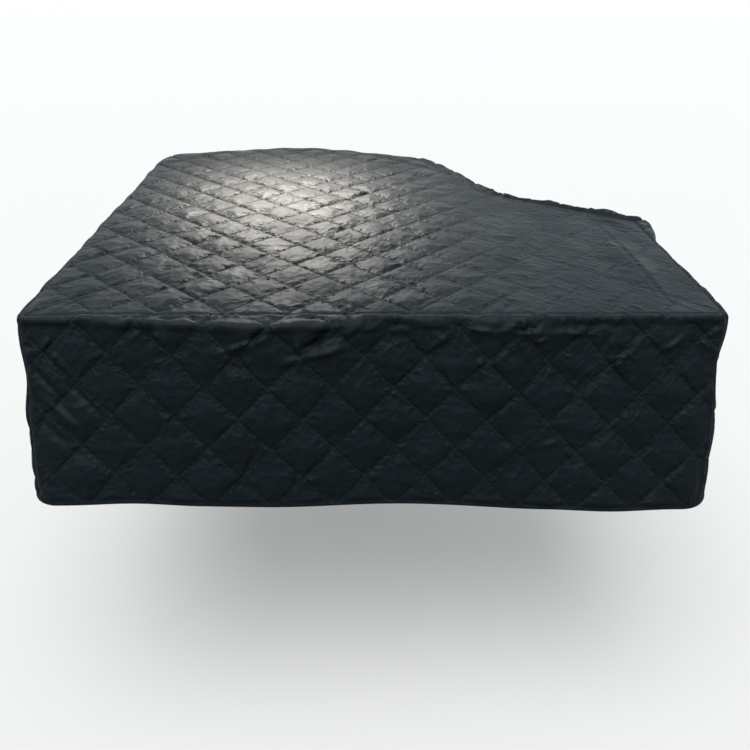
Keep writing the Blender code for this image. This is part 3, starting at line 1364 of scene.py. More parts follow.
@dataclass
class TopPanel(Panel):
    """The top, which lies on the lid."""

    shape: SkirtShape = field(default_factory=SkirtShape)
    quilting: Quilting = field(default_factory=lambda: Quilting(loft=0.0070, crisp=0.70))
    crossing: tuple[float, float] = (0.75616, 0.0748)
    lap: float = 0.0020
    gather: float = 0.0015
    pillow_rest: float = 0.045
    gather_rest: float = 0.010
    corner_steps: int = 25
    stretch_steps: int = 81
    seam_reach: float = 0.12  # the distance to the seam is worked out as far in as this
    batch: int = 4000  # places at a time, to save memory
    slack_to: float = 0.82  # the cloth is slack from the left to here
    slack_fade: float = 0.32
    taut: tuple[float, float] = (0.12, 0.30)  # the shares of loft and gathers where it is taut
    taut_extra: float = 0.001
    slack_extra: float = 0.006  # how much longer than that the slack cloth is
    ridge_rest: float = 0.02  # how near the seam the ridges begin
    ridge_rise: float = 0.08
    pulls: tuple[Pull, ...] = (
        Pull(1, 170, (0.02, 0.02), (0.70, 1.30), 52.0, 16.0, (0.050, 0.130), (0.009, 0.016), 0.0016),
        Pull(2, 60, (0.00, 0.00), (0.45, 0.50), 45.0, 10.0, (0.070, 0.170), (0.010, 0.018), 0.0020),
        Pull(3, 200, (0.84, 0.02), (1.50, 0.95), -50.0, 15.0, (0.045, 0.110), (0.0055, 0.009), 0.0019),
    )
    pressed: tuple[Crease, ...] = crease_table(
        # a line pressed in by storing, and the cheek's seam that shows through
        (1400.8, 680, 1400.8, 40, -5, 6.5, 0.12),
        (1414, 660, 1414, 50, 0.8, 15, 0.20),
        # creases pulled towards the front seam
        (1080, -10, 1180, 110, -5, 10),
        (800, 0, 885, 95, -4.5, 10),
        (560, 4, 605, 60, -4.5, 10),
        (655, 4, 690, 62, -4.5, 10),
        (720, 10, 665, 62, -4, 9),
        (965, 0, 1010, 60, -4, 9),
        (1010, 0, 1060, 75, -4, 9),
        (1240, 4, 1290, 50, -4, 10),
        (1330, 12, 1300, 55, 4, 10),
        (1255, 45, 1350, 125, -3.5, 8),
        # creases pulled towards the corner of cheek and bentside
        (1410, 602, 1524, 505, -5, 10, 0.30),
        (1395, 650, 1500, 585, 4.5, 13),
        (1440, 668, 1520, 640, -4, 9),
        (1300, 745, 1375, 680, -4, 9),
    )
    ridges: tuple[Crease, ...] = crease_table(
        (1400, 640, 1400, 70, 9, 75),
        (1200, 740, 1120, 320, 5, 80),
        (120, 160, 300, 620, 5, 90),
        (220, 1200, 520, 1020, 5, 90),
    )

    def seam_line(self, lap: float) -> Array:
        """Walk the seam round the top, moved out by a lap.

        Args:
            lap: How far out.

        Returns:
            Points on the plan.
        """
        count = len(self.shape.stretches)
        spots = []
        for index in range(count):
            spots.append(2 * index + np.linspace(0.0, 1.0, self.corner_steps)[:-1])
            spots.append(2 * index + 1 + np.linspace(0.0, 1.0, self.stretch_steps)[:-1])
        spot = np.concatenate(spots)
        offsets = np.full((len(spot), count), lap)
        radii = np.tile(self.shape.column("seam_radius"), (len(spot), 1))
        return self.shape.ring_point(spot, offsets, radii)[0]

    def cut(self) -> FlatCut:
        """Give the flat cut: the plan of the lid and a narrow lap."""
        edge = self.seam_line(self.lap) - np.array(self.crossing)
        return FlatCut([np.concatenate([edge, edge[:1]])], self.quilting)

    def lay(self, flat: Array) -> Array:
        """Lay flat places on the lid, with the ridges where the cloth stands off it.

        Args:
            flat: Places on the cut.

        Returns:
            The points.
        """
        plan = flat + np.array(self.crossing)
        seam, _ = self.edge_distance(flat)
        lift = sum(ridge.at(plan) for ridge in self.ridges)
        lift = lift * smooth((seam - self.ridge_rest) / self.ridge_rise)
        return np.column_stack([plan, lift])

    def edge_distance(self, flat: Array) -> tuple[Array, Array]:
        """Give the distance inside the seam; the top has no hem.

        Args:
            flat: Places on the cut.

        Returns:
            The distance inside the seam, and one far above any hem.
        """
        edge = self.seam_line(0.0) - np.array(self.crossing)
        after = np.roll(edge, -1, axis=0)
        inner = FlatCut.inset(edge, self.seam_reach)
        close = np.flatnonzero(~FlatCut.holds(inner, flat))
        distance = np.full(len(flat), self.seam_reach)
        way = after - edge
        for rows in np.array_split(close, max(len(close) // self.batch, 1)):
            gap = flat[rows][:, None] - edge[None]
            share = np.clip((gap * way).sum(axis=2) / (way * way).sum(axis=1), 0.0, 1.0)
            off = np.linalg.norm(gap - share[..., None] * way, axis=2)
            distance[rows] = off.min(axis=1)
        outside = ~FlatCut.holds(edge, flat)
        distance[outside] *= -1.0
        return distance, np.full(len(flat), 1.0)

    def slackness(self, flat: Array) -> Array:
        """Give 1 on the left and in the middle, where the cloth is slack, and 0 on the right."""
        return 1.0 - smooth((flat[:, 0] + self.crossing[0] - self.slack_to) / self.slack_fade)

    def fullness(self, flat: Array) -> tuple[Array, Array]:
        """Give the shares of the full loft and of the full gathers at flat places."""
        slack, (loft, gathers) = self.slackness(flat), self.taut
        return loft + (1.0 - loft) * slack, gathers + (1.0 - gathers) * slack

    def extra_length(self, flat: Array) -> Array:
        """Say by what share the cloth is longer than where it starts."""
        return self.taut_extra + self.slack_extra * self.slackness(flat)


@dataclass
class SkirtLength(Panel):
    """One length of the skirt, sewn to the top along its upper edge."""

    shape: SkirtShape = field(default_factory=SkirtShape)
    quilting: Quilting = field(default_factory=lambda: Quilting(loft=0.0085, flatness=0.75))
    gather: float = 0.0013
    first: str = "front"
    last: str = "front"
    overlap: float = 0.10
    slack: float = 0.006
    slack_seam: float = 0.06  # more of it lies as near the seam as this
    fewest: float = 0.45  # the share of the gathers near the hem
    more_from: float = 0.24  # and how far above the hem there are more of them
    more_over: float = 0.12
    bolt: int = -14
    rests_on: tuple[str, ...] = ("top_panel",)
    stretch_steps: int = 150
    corner_steps: int = 40
    shared_corner_steps: int = 14  # on the half of a corner next to another length
    fall_steps: int = 70
    bend_steps: int = 40
    searches: int = 14
    spots: Array = field(init=False)  # the table's columns, round the plan
    travels: Array = field(init=False)  # and its rows, from the hem to the seam
    points: Array = field(init=False)
    around: Array = field(init=False)  # the flat x of each of its points
    up: Array = field(init=False)  # and the flat y
    left_column: int = field(init=False)
    right_column: int = field(init=False)
    seam_row: int = field(init=False)

    def __post_init__(self) -> None:
        """Work out how flat places and places on the hanging surface match."""
        self.spots = self.columns()
        self.left_column, self.right_column = 1, len(self.spots) - 2
        fall = 2.0 - np.linspace(0.0, 1.0, self.fall_steps)[:-1]
        over = 1.0 - np.linspace(0.0, 1.0, self.bend_steps)
        self.travels = np.concatenate([fall, over, [-0.5, -1.0]])
        self.seam_row = len(self.travels) - 3
        spot, travel = np.meshgrid(self.spots, self.travels, indexing="ij")
        points = self.shape.place(spot.ravel(), travel.ravel())
        self.points = points.reshape(*spot.shape, 3)
        climb = np.linalg.norm(np.diff(self.points, axis=1), axis=2)
        climbed = np.concatenate([np.zeros((len(self.spots), 1)), np.cumsum(climb, axis=1)], axis=1)
        walk = np.linalg.norm(np.diff(self.points, axis=0), axis=2)
        walked = np.concatenate([np.zeros((1, len(self.travels))), np.cumsum(walk, axis=0)])
        self.around = walked - walked[len(self.spots) // 2] - self.crossing[0]
        self.up = climbed - self.crossing[1]

    def columns(self) -> Array:
        """Choose the places round the plan at which the surface is worked out.

        Returns:
            The places, from a little before the left seam to a little past the right one.
        """
        begin, end = self.shape.number(self.first), self.shape.number(self.last)
        left, right = 2 * begin + 0.5, 2 * (end + 1) + 0.5
        spots = [left - self.overlap, left]
        spots += list(2 * begin + np.linspace(0.5, 1.0, self.shared_corner_steps)[1:])
        for index in range(begin, end + 1):
            spots += list(2 * index + 1 + np.linspace(0.0, 1.0, self.stretch_steps)[1:])
            if index < end:
                spots += list(2 * (index + 1) + np.linspace(0.0, 1.0, self.corner_steps)[1:])
        spots += list(2 * (end + 1) + np.linspace(0.0, 0.5, self.shared_corner_steps)[1:])
        spots.append(right + self.overlap)
        return np.array(spots)

    def read(self, table: Array, place: Array) -> Array:
        """Read a table of the surface between its columns and rows.

        Args:
            table: A number or a point for each column and row.
            place: The columns and rows asked for, with parts.

        Returns:
            The table's value at each place.
        """
        last = np.array(table.shape[:2]) - 2
        low = np.clip(np.floor(place).astype(int), 0, last)
        part = place - low
        if table.ndim == 3:
            part = part[..., None]
        across, rise = part[:, 0], part[:, 1]
        column, row = low[:, 0], low[:, 1]
        lower = table[column, row] * (1 - across) + table[column + 1, row] * across
        upper = table[column, row + 1] * (1 - across) + table[column + 1, row + 1] * across
        return lower * (1 - rise) + upper * rise

    def find(self, flat: Array) -> Array:
        """Find the column and row of the table at flat places.

        Args:
            flat: Places on the cut.

        Returns:
            The column and row of each, with parts.
        """
        middle_row = len(self.travels) // 2
        place = np.column_stack(
            [
                np.interp(flat[:, 0], self.around[:, middle_row], np.arange(len(self.spots))),
                np.interp(flat[:, 1], self.up.mean(axis=0), np.arange(len(self.travels))),
            ]
        )
        top = np.array(self.around.shape) - 1.0
        for _ in range(self.searches):
            for axis, table in ((0, self.around), (1, self.up)):
                low = np.clip(np.floor(place), 0, top - 1)
                here, there = place.copy(), place.copy()
                here[:, axis], there[:, axis] = low[:, axis], low[:, axis] + 1
                start = self.read(table, here)
                slope = np.maximum(self.read(table, there) - start, FLATTEST_SLOPE)
                wanted = low[:, axis] + (flat[:, axis] - start) / slope
                place[:, axis] = np.clip(wanted, low[:, axis] - 3, low[:, axis] + 4)
                place[:, axis] = np.clip(place[:, axis], -0.5, top[axis] + 0.5)
        return place

    def cut(self) -> FlatCut:
        """Give the flat cut: hem, right side, seam and left side."""
        edge = np.stack([self.around, self.up], axis=2)
        return FlatCut([edge[:, 0], edge[-1], edge[::-1, -1], edge[0, ::-1]], self.quilting)

    def lay(self, flat: Array) -> Array:
        """Lay flat places on the hanging surface."""
        return self.read(self.points, self.find(flat))

    def edge_distance(self, flat: Array) -> tuple[Array, Array]:
        """Give the distance inside the nearest seam, and above the hem.

        Args:
            flat: Places on the cut.

        Returns:
            The two distances for each place.
        """
        place = self.find(flat)
        inside = []
        for axis, at, table, side in (
            (0, self.left_column, self.around, 1.0),
            (0, self.right_column, self.around, -1.0),
            (1, self.seam_row, self.up, -1.0),
        ):
            edge = place.copy()
            edge[:, axis] = at
            inside.append((flat[:, axis] - self.read(table, edge)) * side)
        return np.min(inside, axis=0), flat[:, 1] + self.crossing[1]

    def fullness(self, flat: Array) -> tuple[Array, Array]:
        """Give the shares of the full loft and of the full gathers: most gathers are at the top.

        Args:
            flat: Places on the cut.

        Returns:
            The two shares for each place.
        """
        above = flat[:, 1] + self.crossing[1]
        high = smooth((above - self.more_from) / self.more_over)
        return np.ones(len(flat)), self.fewest + (1.0 - self.fewest) * high

    def extra_length(self, flat: Array) -> Array:
        """Say by what share the cloth is longer than where it starts."""
        seam, _ = self.edge_distance(flat)
        return self.slack * (0.5 + swell(seam / self.slack_seam))


@dataclass
class FrontSkirt(SkirtLength):
    """The long straight length in front of the keyboard, crumpled where it bends over the edge."""

    gather: float = 0.0020
    crossing: tuple[float, float] = (0.0335, 0.0)
    pillow_rest: float = 0.070
    gather_rest: float = 0.008
    seam_roll: float = 0.0030
    pressed: tuple[Crease, ...] = crease_table(
        # the left end sags in slanting parallel folds
        (-755, 335, -650, 215, -5, 13),
        (-755, 285, -600, 130, 6, 16),
        (-690, 305, -560, 165, -4.5, 13),
        (-735, 210, -650, 112, -6, 15),
        (-710, 360, -625, 265, 5, 14),
        # crumples below the bend, left of the middle
        (-355, 342, -212, 390, 8.5, 12.5),
        (-230, 318, -35, 374, 10, 13.5),
        (-190, 352, -75, 391, -7.5, 10.5),
        (-285, 352, -240, 405, -7, 10),
        # and right of the middle
        (92, 345, 180, 412, 7.5, 12.5),
        (325, 142, 418, 170, 5, 12),
        (180, 70, 430, 230, 5, 30),
        (500, 340, 562, 380, 7, 11.5),
        (600, 358, 672, 412, 7, 12),
        # the edge where the level band in front of the seam turns down, as uneven as it is
        (-612, 400, -530, 406, 6.7, 14),
        (-535, 406, -455, 400, 7.3, 13),
        (-458, 401, -380, 407, 7, 13),
        (-372, 407, -275, 400, 7.3, 14),
        (-268, 399, -160, 405, 7, 13),
        (-150, 406, -75, 401, 6.4, 13),
        (-66, 399, 15, 405, 6.4, 13),
        (50, 408, 158, 412, 6.4, 12),
        (165, 409, 262, 402, 6.4, 12),
        (270, 401, 345, 402, 6.4, 12),
        (350, 403, 470, 408, 6.7, 13),
        # short pinches above the hem
        (-322, 28, -250, 165, -6.5, 11),
        (-190, 35, -182, 92, -5.5, 10),
        # where the band in front of the seam breaks over its edge
        (-555, 455, -498, 388, 4.5, 12),
        (-540, 352, -470, 411, 5.5, 13),
        (-495, 434, -388, 398, -4.5, 12),
        (-158, 352, -95, 416, -5.5, 13),
        (-97, 374, -18, 430, 6, 14),
        (-4, 395, 80, 396, 5, 12),
        (96, 420, 106, 366, -5, 10),
        (236, 395, 314, 431, 6, 13),
        (286, 396, 368, 438, -4.5, 11),
        (383, 389, 465, 423, 5.5, 12),
        (470, 348, 507, 421, -5, 11),
        (520, 348, 585, 421, 5.5, 13),
        (678, 404, 762, 352, 5, 13),
    )


@dataclass
class BentsideSkirt(SkirtLength):
    """The length round the bentside, which rolls up behind the seam and puckers there."""

    first: str = "bent_front"
    last: str = "bent_back"
    seam_roll: float = 0.0055
    roll_reach: float = 0.017
    pressed: tuple[Crease, ...] = crease_table(
        # pinches where the roll is drawn together beside its seam
        (-492, 428, -478, 480, -7, 9),
        (-470, 440, -438, 474, 5, 10),
        (-436, 425, -420, 480, -6.5, 8),
        (-392, 430, -398, 480, -7.5, 10),
        (-375, 438, -345, 474, 5.5, 11),
        (-322, 430, -300, 480, -6.5, 9),
    )
    pulls: tuple[Pull, ...] = (
        Pull(1, 34, (-0.50, 0.375), (0.05, 0.425), 88.0, 16.0, (0.030, 0.060), (0.007, 0.011), -0.0060),
    )


# ---------------- finishes


@dataclass(frozen=True)
class CalenderedNylonTaffeta:
    """Navy black nylon taffeta: a plain weave of flat threads, pressed between hot rollers.

    The pressing gives a satin sheen that is strong at low angles and weak head-on, and the thin
    cloth takes many small sharp crinkles, so the light on it breaks into facets and short streaks.
    """

    colour: str = "#020709"
    worn_colour: str = "#070d10"
    thread_colour: str = "#1a1e23"
    ior: float = 1.53  # nylon
    gloss: float = 0.05
    roughness: float = 0.60
    polish: float = 0.06  # how much smoother the least worn cloth is
    wear: float = 0.08  # how much rougher the most worn cloth is
    mottle: float = 7.0  # patches of wear to the metre
    worn: tuple[float, float] = (0.35, 0.65)  # from none to all of that wear
    row_edge: float = 1.0 * MM
    dip: float = 3.6 * MM  # the cloth dips in beside its sewing, where it is creased and dull
    dip_reach: float = 16.0 * MM  # how much further that goes where the cloth is gathered
    gathered: float = 15.0 * MM  # the size of a gathered patch
    gathers: tuple[float, float] = (0.53, 0.70)  # from none to all of its gathering
    dip_roughness: float = 0.80
    fleck_roughness: float = 0.97
    flecks: tuple[float, float] = (0.46, 0.60)  # from the one roughness to the other
    dips_end: tuple[float, float] = (0.02, 0.26)  # where they fade out, to the right on the top
    weave: float = 2.4 * MM  # real threads are 0.3 mm apart, which is too fine to show
    weave_depth: float = 0.2 * MM
    stitch: float = 5.0 * MM  # real stitches are 3 to 4 mm long
    stitch_ends: tuple[float, float] = (0.32, 0.42)  # where a stitch sinks into the cloth
    thread: float = 1.2 * MM  # real thread is 0.4 mm thick, drawn wider so that it shows
    thread_depth: float = 0.4 * MM
    thread_flat: float = 0.4  # the share of its width that is flat
    facet: float = 26.0 * MM  # the crumpled facets between two creases
    facet_depth: float = 3.2 * MM
    facet_shares: tuple[float, float] = (0.8, 0.3)  # how strong they are, at the left and right
    facets_fade: tuple[float, float] = (0.05, 0.32)
    pucker: float = 11.0 * MM  # the smaller facets beside the sewing
    pucker_depth: float = 1.9 * MM
    pucker_edge: float = 0.02  # in parts of the way between two rows
    pucker_reach: float = 26.0 * MM  # how far from the sewing those are seen
    warp: float = 22.0 * MM  # how far the facets' edges wander
    warps: float = 26.0  # and how often to the metre
    streak: float = 24.0 * MM  # from one fine pulled crease to the next
    streak_depth: float = 1.2 * MM
    streak_stretch: float = 4.5  # how much longer than wide they are
    streak_edge: tuple[float, float] = (0.60, 1.15)  # from the foot to the top of one
    streak_ways: tuple[tuple[float, float, float], ...] = (
        (0.90, 0.30, 0.05),  # a way's turn, and from where to where its streaks come in
        (-0.66, 0.05, 0.30),
    )
    patches: float = 8.0  # patches of streaks to the metre
    patch_edge: tuple[float, float] = (0.42, 0.60)
    least_streaks: float = 0.15  # how strong they are outside the patches
    quilting: Quilting = field(default_factory=Quilting)

    def material(self) -> bpy.types.Material:
        """Make the material.

        Returns:
            The material, with its pattern on the flat cut's map.
        """
        made = bpy.data.materials.new("calendered_nylon_taffeta")
        made.use_nodes = True
        shader = made.node_tree.nodes["Principled BSDF"]
        shader.inputs["IOR"].default_value = self.ior
        shader.inputs["Specular IOR Level"].default_value = self.gloss
        TaffetaPattern(self, made.node_tree).dress(shader)
        return made


class TaffetaPattern:
    """The taffeta's patterns as nodes. Each is placed by the flat cut's own coordinates."""

    def __init__(self, cloth: CalenderedNylonTaffeta, tree: bpy.types.NodeTree) -> None:
        """Read the coordinates, and measure the distance to the nearest row of sewing.

        Args:
            cloth: The cloth, with its sizes and colours.
            tree: Its material's node tree.
        """
        self.cloth = cloth
        self.tree = tree
        self.side = cloth.quilting.side
        self.place = add_node(tree, "UVMap", uv_map="cut")
        self.across = add_node(tree, "SeparateXYZ", (self.place,))
        rows = (self.off_row(-1.0), self.off_row(1.0))
        self.nearest = add_node(tree, "Math", rows, operation="MINIMUM")

    def dress(self, shader: bpy.types.Node) -> None:
        """Give the shader its colour, roughness and relief.

        Args:
            shader: The material's shader.
        """
        cloth, tree = self.cloth, self.tree
        wear = {"Vector": self.place, "Scale": cloth.mottle, "Detail": 5.0, "Roughness": 0.6}
        worn = add_node(tree, "TexNoise", wear)
        sewn = self.sewing()
        tint = linear_colour(cloth.colour)
        for share, code in ((worn, cloth.worn_colour), (sewn, cloth.thread_colour)):
            blend = {0: share, 6: tint, 7: linear_colour(code)}
            tint = add_node(tree, "Mix", blend, 2, data_type="RGBA")
        relief = {"Strength": 0.5, "Distance": cloth.thread_depth, "Height": sewn}
        raised = add_node(tree, "Bump", {**relief, "Normal": self.weaving()})
        tree.links.new(tint, shader.inputs["Base Color"])
        tree.links.new(self.dullness(worn), shader.inputs["Roughness"])
        tree.links.new(raised, shader.inputs["Normal"])

    def off_row(self, side: float) -> Socket:
        """Measure the distance to the nearest row of one family, in parts of the rows' spacing.

        Args:
            side: -1 for the rows that rise to the right, 1 for those that fall.

        Returns:
            The distance.
        """
        pitch = 1.0 / self.cloth.quilting.diagonal
        way = (pitch, side * pitch, 0.0)
        across = add_node(self.tree, "VectorMath", (self.place, way), 1, operation="DOT_PRODUCT")
        return add_node(self.tree, "Math", (across, 0.5), operation="PINGPONG")

    def dullness(self, worn: Socket) -> Socket:
        """Make the cloth dull in the gathered dips beside its sewing, and by wear elsewhere.

        Args:
            worn: The pattern of wear.

        Returns:
            The roughness.
        """
        cloth, tree, side = self.cloth, self.tree, self.side
        worst = cloth.roughness + cloth.wear
        patch = {"Scale": 1.0 / cloth.gathered, "Detail": 3.0, "Roughness": 0.6}
        uneven = add_node(tree, "TexNoise", {"Vector": self.place, **patch})
        shares = (uneven, *cloth.flecks, cloth.dip_roughness, cloth.fleck_roughness)
        sunk = add_node(tree, "MapRange", shares, **EASED)
        dipped = add_node(tree, "MapRange", (self.across, *cloth.dips_end, sunk, worst), **EASED)
        shares = (worn, *cloth.worn, cloth.roughness - cloth.polish, worst)
        plain = add_node(tree, "MapRange", shares)
        shares = (uneven, *cloth.gathers, 0.0, cloth.dip_reach / side)
        reach = add_node(tree, "MapRange", shares, **EASED)
        beside = add_node(tree, "Math", (self.nearest, reach), operation="SUBTRACT")
        shares = (beside, cloth.row_edge / side, cloth.dip / side, dipped, plain)
        return add_node(tree, "MapRange", shares, **EASED)

    def sewing(self) -> Socket:
        """Draw the thread's stitches along both families of rows.

        Returns:
            1 on the thread and 0 off it.
        """
        cloth, tree = self.cloth, self.tree
        half = cloth.thread / 2 / self.side
        step = 1.0 / (cloth.stitch * math.sqrt(2.0))
        drawn = []
        for side in (-1.0, 1.0):
            width = (self.off_row(side), half * cloth.thread_flat, half, 1.0, 0.0)
            near = add_node(tree, "MapRange", width, **EASED)
            way = (step, -side * step, 0.0)
            along = add_node(tree, "VectorMath", (self.place, way), 1, operation="DOT_PRODUCT")
            dash = add_node(tree, "Math", (along, 0.5), operation="PINGPONG")
            ends = add_node(tree, "MapRange", (dash, *cloth.stitch_ends, 1.0, 0.0), **EASED)
            drawn.append(add_node(tree, "Math", (near, ends), operation="MULTIPLY"))
        return add_node(tree, "Math", tuple(drawn), operation="MAXIMUM")

    def crinkles(self) -> Socket:
        """Add the crumpled facets, those beside the sewing, and the fine pulled creases.

        Returns:
            The bumped normal.
        """
        cloth, tree = self.cloth, self.tree
        wander = {"Vector": self.place, "Scale": cloth.warps, "Detail": 2.0}
        drift = add_node(tree, "TexNoise", wander, 1)
        spread = (drift, (cloth.warp, cloth.warp, 0.0), self.place)
        moved = add_node(tree, "VectorMath", spread, operation="MULTIPLY_ADD")
        shares = (self.across, *cloth.facets_fade, *cloth.facet_shares)
        slack = add_node(tree, "MapRange", shares, **EASED)
        shares = (self.nearest, cloth.pucker_edge, cloth.pucker_reach / self.side, 1.0, 0.0)
        beside = add_node(tree, "MapRange", shares, **EASED)
        bump = {}
        for size, detail, depth, share in (
            (cloth.facet, 0.6, cloth.facet_depth, slack),
            (cloth.pucker, 0.5, cloth.pucker_depth, beside),
        ):
            cells = {"Vector": moved, "Scale": 1.0 / size, "Detail": detail, "Roughness": 0.4}
            facets = add_node(tree, "TexVoronoi", cells, feature="F1", voronoi_dimensions="2D")
            bump.update({"Distance": depth, "Strength": share, "Height": facets})
            bump["Normal"] = add_node(tree, "Bump", bump)
        return self.streaks(moved, bump["Normal"])

    def streaks(self, moved: Socket, normal: Socket) -> Socket:
        """Add fine creases, drawn one way on the left of a piece and another on the right.

        Args:
            moved: The coordinates, a little warped.
            normal: The normal so far.

        Returns:
            The bumped normal.
        """
        cloth, tree = self.cloth, self.tree
        patch = {"Vector": self.place, "Scale": cloth.patches, "Detail": 1.0}
        patches = add_node(tree, "TexNoise", patch, noise_dimensions="2D")
        stretch = (cloth.streak_stretch, 1.0, 1.0)
        grain = {"Scale": 0.5 / cloth.streak, "Detail": 1.0, "Roughness": 0.4, "Offset": 0.9}
        kind = {"noise_type": "RIDGED_MULTIFRACTAL", "noise_dimensions": "2D"}
        for turn, first, last in cloth.streak_ways:
            turned = {"Vector": moved, "Rotation": (0.0, 0.0, turn), "Scale": stretch}
            pulled = add_node(tree, "Mapping", turned, vector_type="TEXTURE")
            lines = add_node(tree, "TexNoise", {"Vector": pulled, **grain}, **kind)
            ridges = add_node(tree, "MapRange", (lines, *cloth.streak_edge, 0.0, 1.0), **EASED)
            near = add_node(tree, "MapRange", (self.across, first, last, 0.0, 1.0), **EASED)
            shares = (patches, *cloth.patch_edge, cloth.least_streaks, near)
            share = add_node(tree, "MapRange", shares)
            bump = {"Distance": cloth.streak_depth, "Strength": share, "Height": ridges}
            normal = add_node(tree, "Bump", {**bump, "Normal": normal})
        return normal

    def weaving(self) -> Socket:
        """Add the weave's two sets of threads over the crinkles.

        Returns:
            The bumped normal.
        """
        normal = self.crinkles()
        size = WAVE_LENGTH / self.cloth.weave
        wave = {"Vector": self.place, "Scale": size, "Distortion": 0.6, "Detail": 1.0}
        for direction in ("X", "Y"):
            height = add_node(self.tree, "TexWave", wave, "Fac", bands_direction=direction)
            bump = {"Strength": 0.12, "Distance": self.cloth.weave_depth, "Height": height}
            normal = add_node(self.tree, "Bump", {**bump, "Normal": normal})
        return normal


@dataclass(frozen=True)
class StudioPaper:
    """Matt white background paper, rolled smooth. It takes soft shadows and shows no gloss.

    It glows a little and evenly, a painted fill light with no lamp behind it, so the shadows on it stay
    pale.
    """

    colour: str = "#6c6c6b"
    # painted fill light: the paper's own even glow, not light from any lamp
    painted_fill_colour: str = "#ffffff"
    painted_fill_glow: float = 0.28
    roughness: float = 0.9
    gloss: float = 0.1

    def material(self) -> bpy.types.Material:
        """Make the material.

        Returns:
            The material.
        """
        made = bpy.data.materials.new("studio_paper")
        made.use_nodes = True
        shader = made.node_tree.nodes["Principled BSDF"]
        shader.inputs["Base Color"].default_value = linear_colour(self.colour)
        # the glow paints fill light on the paper, which lifts its shadows
        shader.inputs["Emission Color"].default_value = linear_colour(self.painted_fill_colour)
        shader.inputs["Emission Strength"].default_value = self.painted_fill_glow
        shader.inputs["Roughness"].default_value = self.roughness
        shader.inputs["Specular IOR Level"].default_value = self.gloss
        return made


# ---------------- the studio


@dataclass(frozen=True)
class Softbox:
    """A square of soft light that faces a point. One for sheen only adds no diffuse light."""

    name: str
    place: tuple[float, float, float]
    aim: tuple[float, float, float]
    size: tuple[float, float]
    power: float
    colour: str = "#ffffff"
    spread: float = 180.0
    sheen_only: bool = False

    def build(self) -> None:
        """Make the light."""
        light = bpy.data.lights.new(self.name, "AREA")
        light.shape = "RECTANGLE"
        light.size, light.size_y = self.size
        light.energy = self.power
        light.spread = math.radians(self.spread)
        light.color = linear_colour(self.colour)[:3]
        item = put(self.name, light, self.place, Vector(self.aim) - Vector(self.place))
        item.visible_camera = False
        item.visible_diffuse = not self.sheen_only


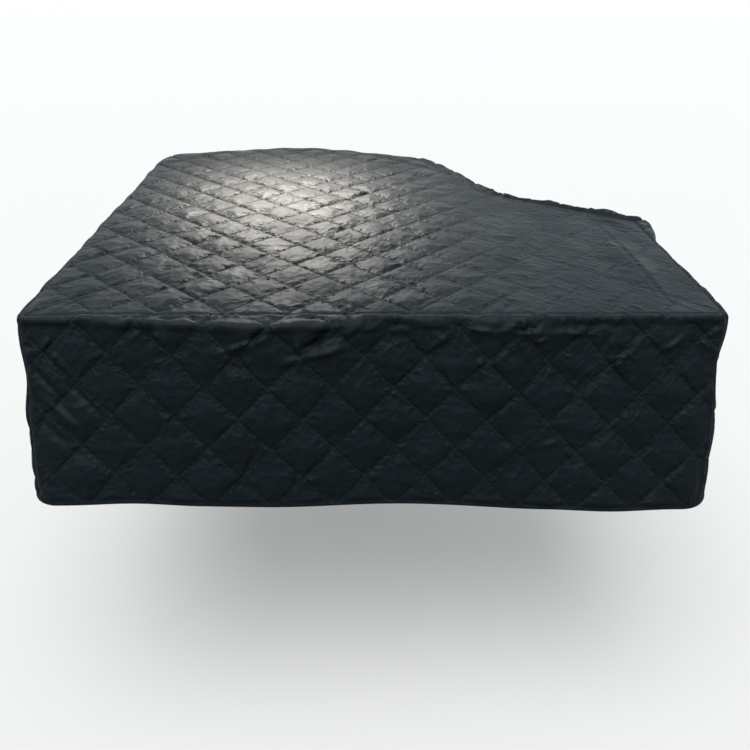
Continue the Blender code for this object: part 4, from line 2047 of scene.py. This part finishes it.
@dataclass(frozen=True)
class Studio:
    """A pale floor a metre under the lid, soft lights and the camera."""

    lid_height: float = 1.0
    floor_size: float = 400.0
    ambient: str = "#eaf3f8"
    ambient_front: float = 0.15
    ambient_back: float = 3.4
    backdrop: float = 1.03
    key_strength: float = 9.0
    key_spread: float = 60.0
    key_from: tuple[float, float, float] = (-0.12, -0.25, 1.0)
    key_place: tuple[float, float, float] = (0.0, -2.0, 4.0)
    lights: tuple[Softbox, ...] = (
        Softbox(
            "window_light",
            place=(-0.29, 0.58, 0.50),
            aim=(-0.28, 0.44, 0.0),
            size=(0.46, 0.22),
            power=58.0,
            colour="#fff7ec",
            spread=115.0,
            sheen_only=True,
        ),
    )
    eye: tuple[float, float, float] = (-0.0689, -2.0035, 0.6403)
    yaw: float = 2.71  # degrees, like the next two
    pitch: float = 31.15
    roll: float = 1.09
    lens: float = 32.74
    sensor: float = 36.0

    def build(self) -> None:
        """Make the floor, the lights and the camera."""
        self.floor()
        for light in self.lights:
            light.build()
        self.key_light()
        self.sky()
        self.camera()

    def sky(self) -> None:
        """Make the light from all round, strongest from behind the cover, and the backdrop."""
        world = bpy.data.worlds.new("studio")
        world.use_nodes = True
        tree = world.node_tree
        sky = tree.nodes["Background"]
        sky.inputs["Color"].default_value = linear_colour(self.ambient)
        way = add_node(tree, "TexCoord", output="Generated")
        back = add_node(tree, "SeparateXYZ", (way,), 1)
        shares = (back, -1.0, 1.0, self.ambient_front, self.ambient_back)
        strength = add_node(tree, "MapRange", shares)
        seen = add_node(tree, "LightPath", output="Is Camera Ray")
        shown = add_node(tree, "MapRange", (seen, 0.0, 1.0, strength, self.backdrop))
        tree.links.new(shown, sky.inputs["Strength"])
        bpy.context.scene.world = world
        bpy.context.scene.view_settings.view_transform = "Standard"

    def floor(self) -> None:
        """Make the floor."""
        half = self.floor_size / 2
        mesh = bpy.data.meshes.new("floor")
        corners = [(-half, -half, 0), (half, -half, 0), (half, half, 0), (-half, half, 0)]
        mesh.from_pydata(corners, [], [(0, 1, 2, 3)])
        mesh.materials.append(StudioPaper().material())
        put("floor", mesh, (0.0, 0.0, -self.lid_height))

    def key_light(self) -> None:
        """Make the soft light from above and in front, the same all over the floor."""
        light = bpy.data.lights.new("key_light", "SUN")
        light.energy = self.key_strength
        light.angle = math.radians(self.key_spread)
        put("key_light", light, self.key_place, -Vector(self.key_from))

    def camera(self) -> None:
        """Make the camera, at eye height in front of the keyboard."""
        lens = bpy.data.cameras.new("camera")
        lens.lens = self.lens
        lens.sensor_width = self.sensor
        lens.clip_end = 2.5 * self.floor_size
        turned = Matrix.Rotation(math.radians(-self.yaw), 4, "Z")
        tilted = Matrix.Rotation(math.radians(90.0 - self.pitch), 4, "X")
        leaned = Matrix.Rotation(math.radians(self.roll), 4, "Z")
        item = put("camera", lens)
        item.matrix_world = Matrix.Translation(self.eye) @ turned @ tilted @ leaned
        bpy.context.scene.camera = item


# ---------------- the cover


@dataclass
class PianoCover:
    """The top and the five lengths of its skirt."""

    cloth: CalenderedNylonTaffeta = field(default_factory=CalenderedNylonTaffeta)

    def panels(self) -> list[Panel]:
        """List the pieces, the top first.

        Returns:
            The pieces, not yet made.
        """
        cheek = {"first": "cheek", "last": "cheek"}
        tail = {"first": "tail_right", "last": "tail_left"}
        spine = {"first": "spine", "last": "spine"}
        return [
            TopPanel("top_panel", cells=14, inner_cells=5, seed=11, held=Held.ON_LID),
            FrontSkirt("front_skirt", cells=22, inner_cells=8, seed=23),
            SkirtLength("cheek_skirt", cells=18, inner_cells=7, seed=37, **cheek),
            BentsideSkirt("bentside_skirt", cells=16, inner_cells=7, seed=41),
            SkirtLength("tail_skirt", cells=16, inner_cells=7, seed=53, **tail),
            SkirtLength("spine_skirt", cells=16, inner_cells=7, seed=67, **spine),
        ]

    def build(self) -> None:
        """Make every piece where the frame's top lies."""
        low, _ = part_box("top_panel")
        origin = np.array([low.x, low.y, 0.0])
        finish = self.cloth.material()
        for panel in self.panels():
            panel.build(origin, finish)


def main() -> None:
    """Build the cover and its studio."""
    logging.basicConfig(level=logging.INFO, format="%(name)s: %(message)s")
    PianoCover().build()
    Studio().build()


if __name__ == "__main__":
    main()
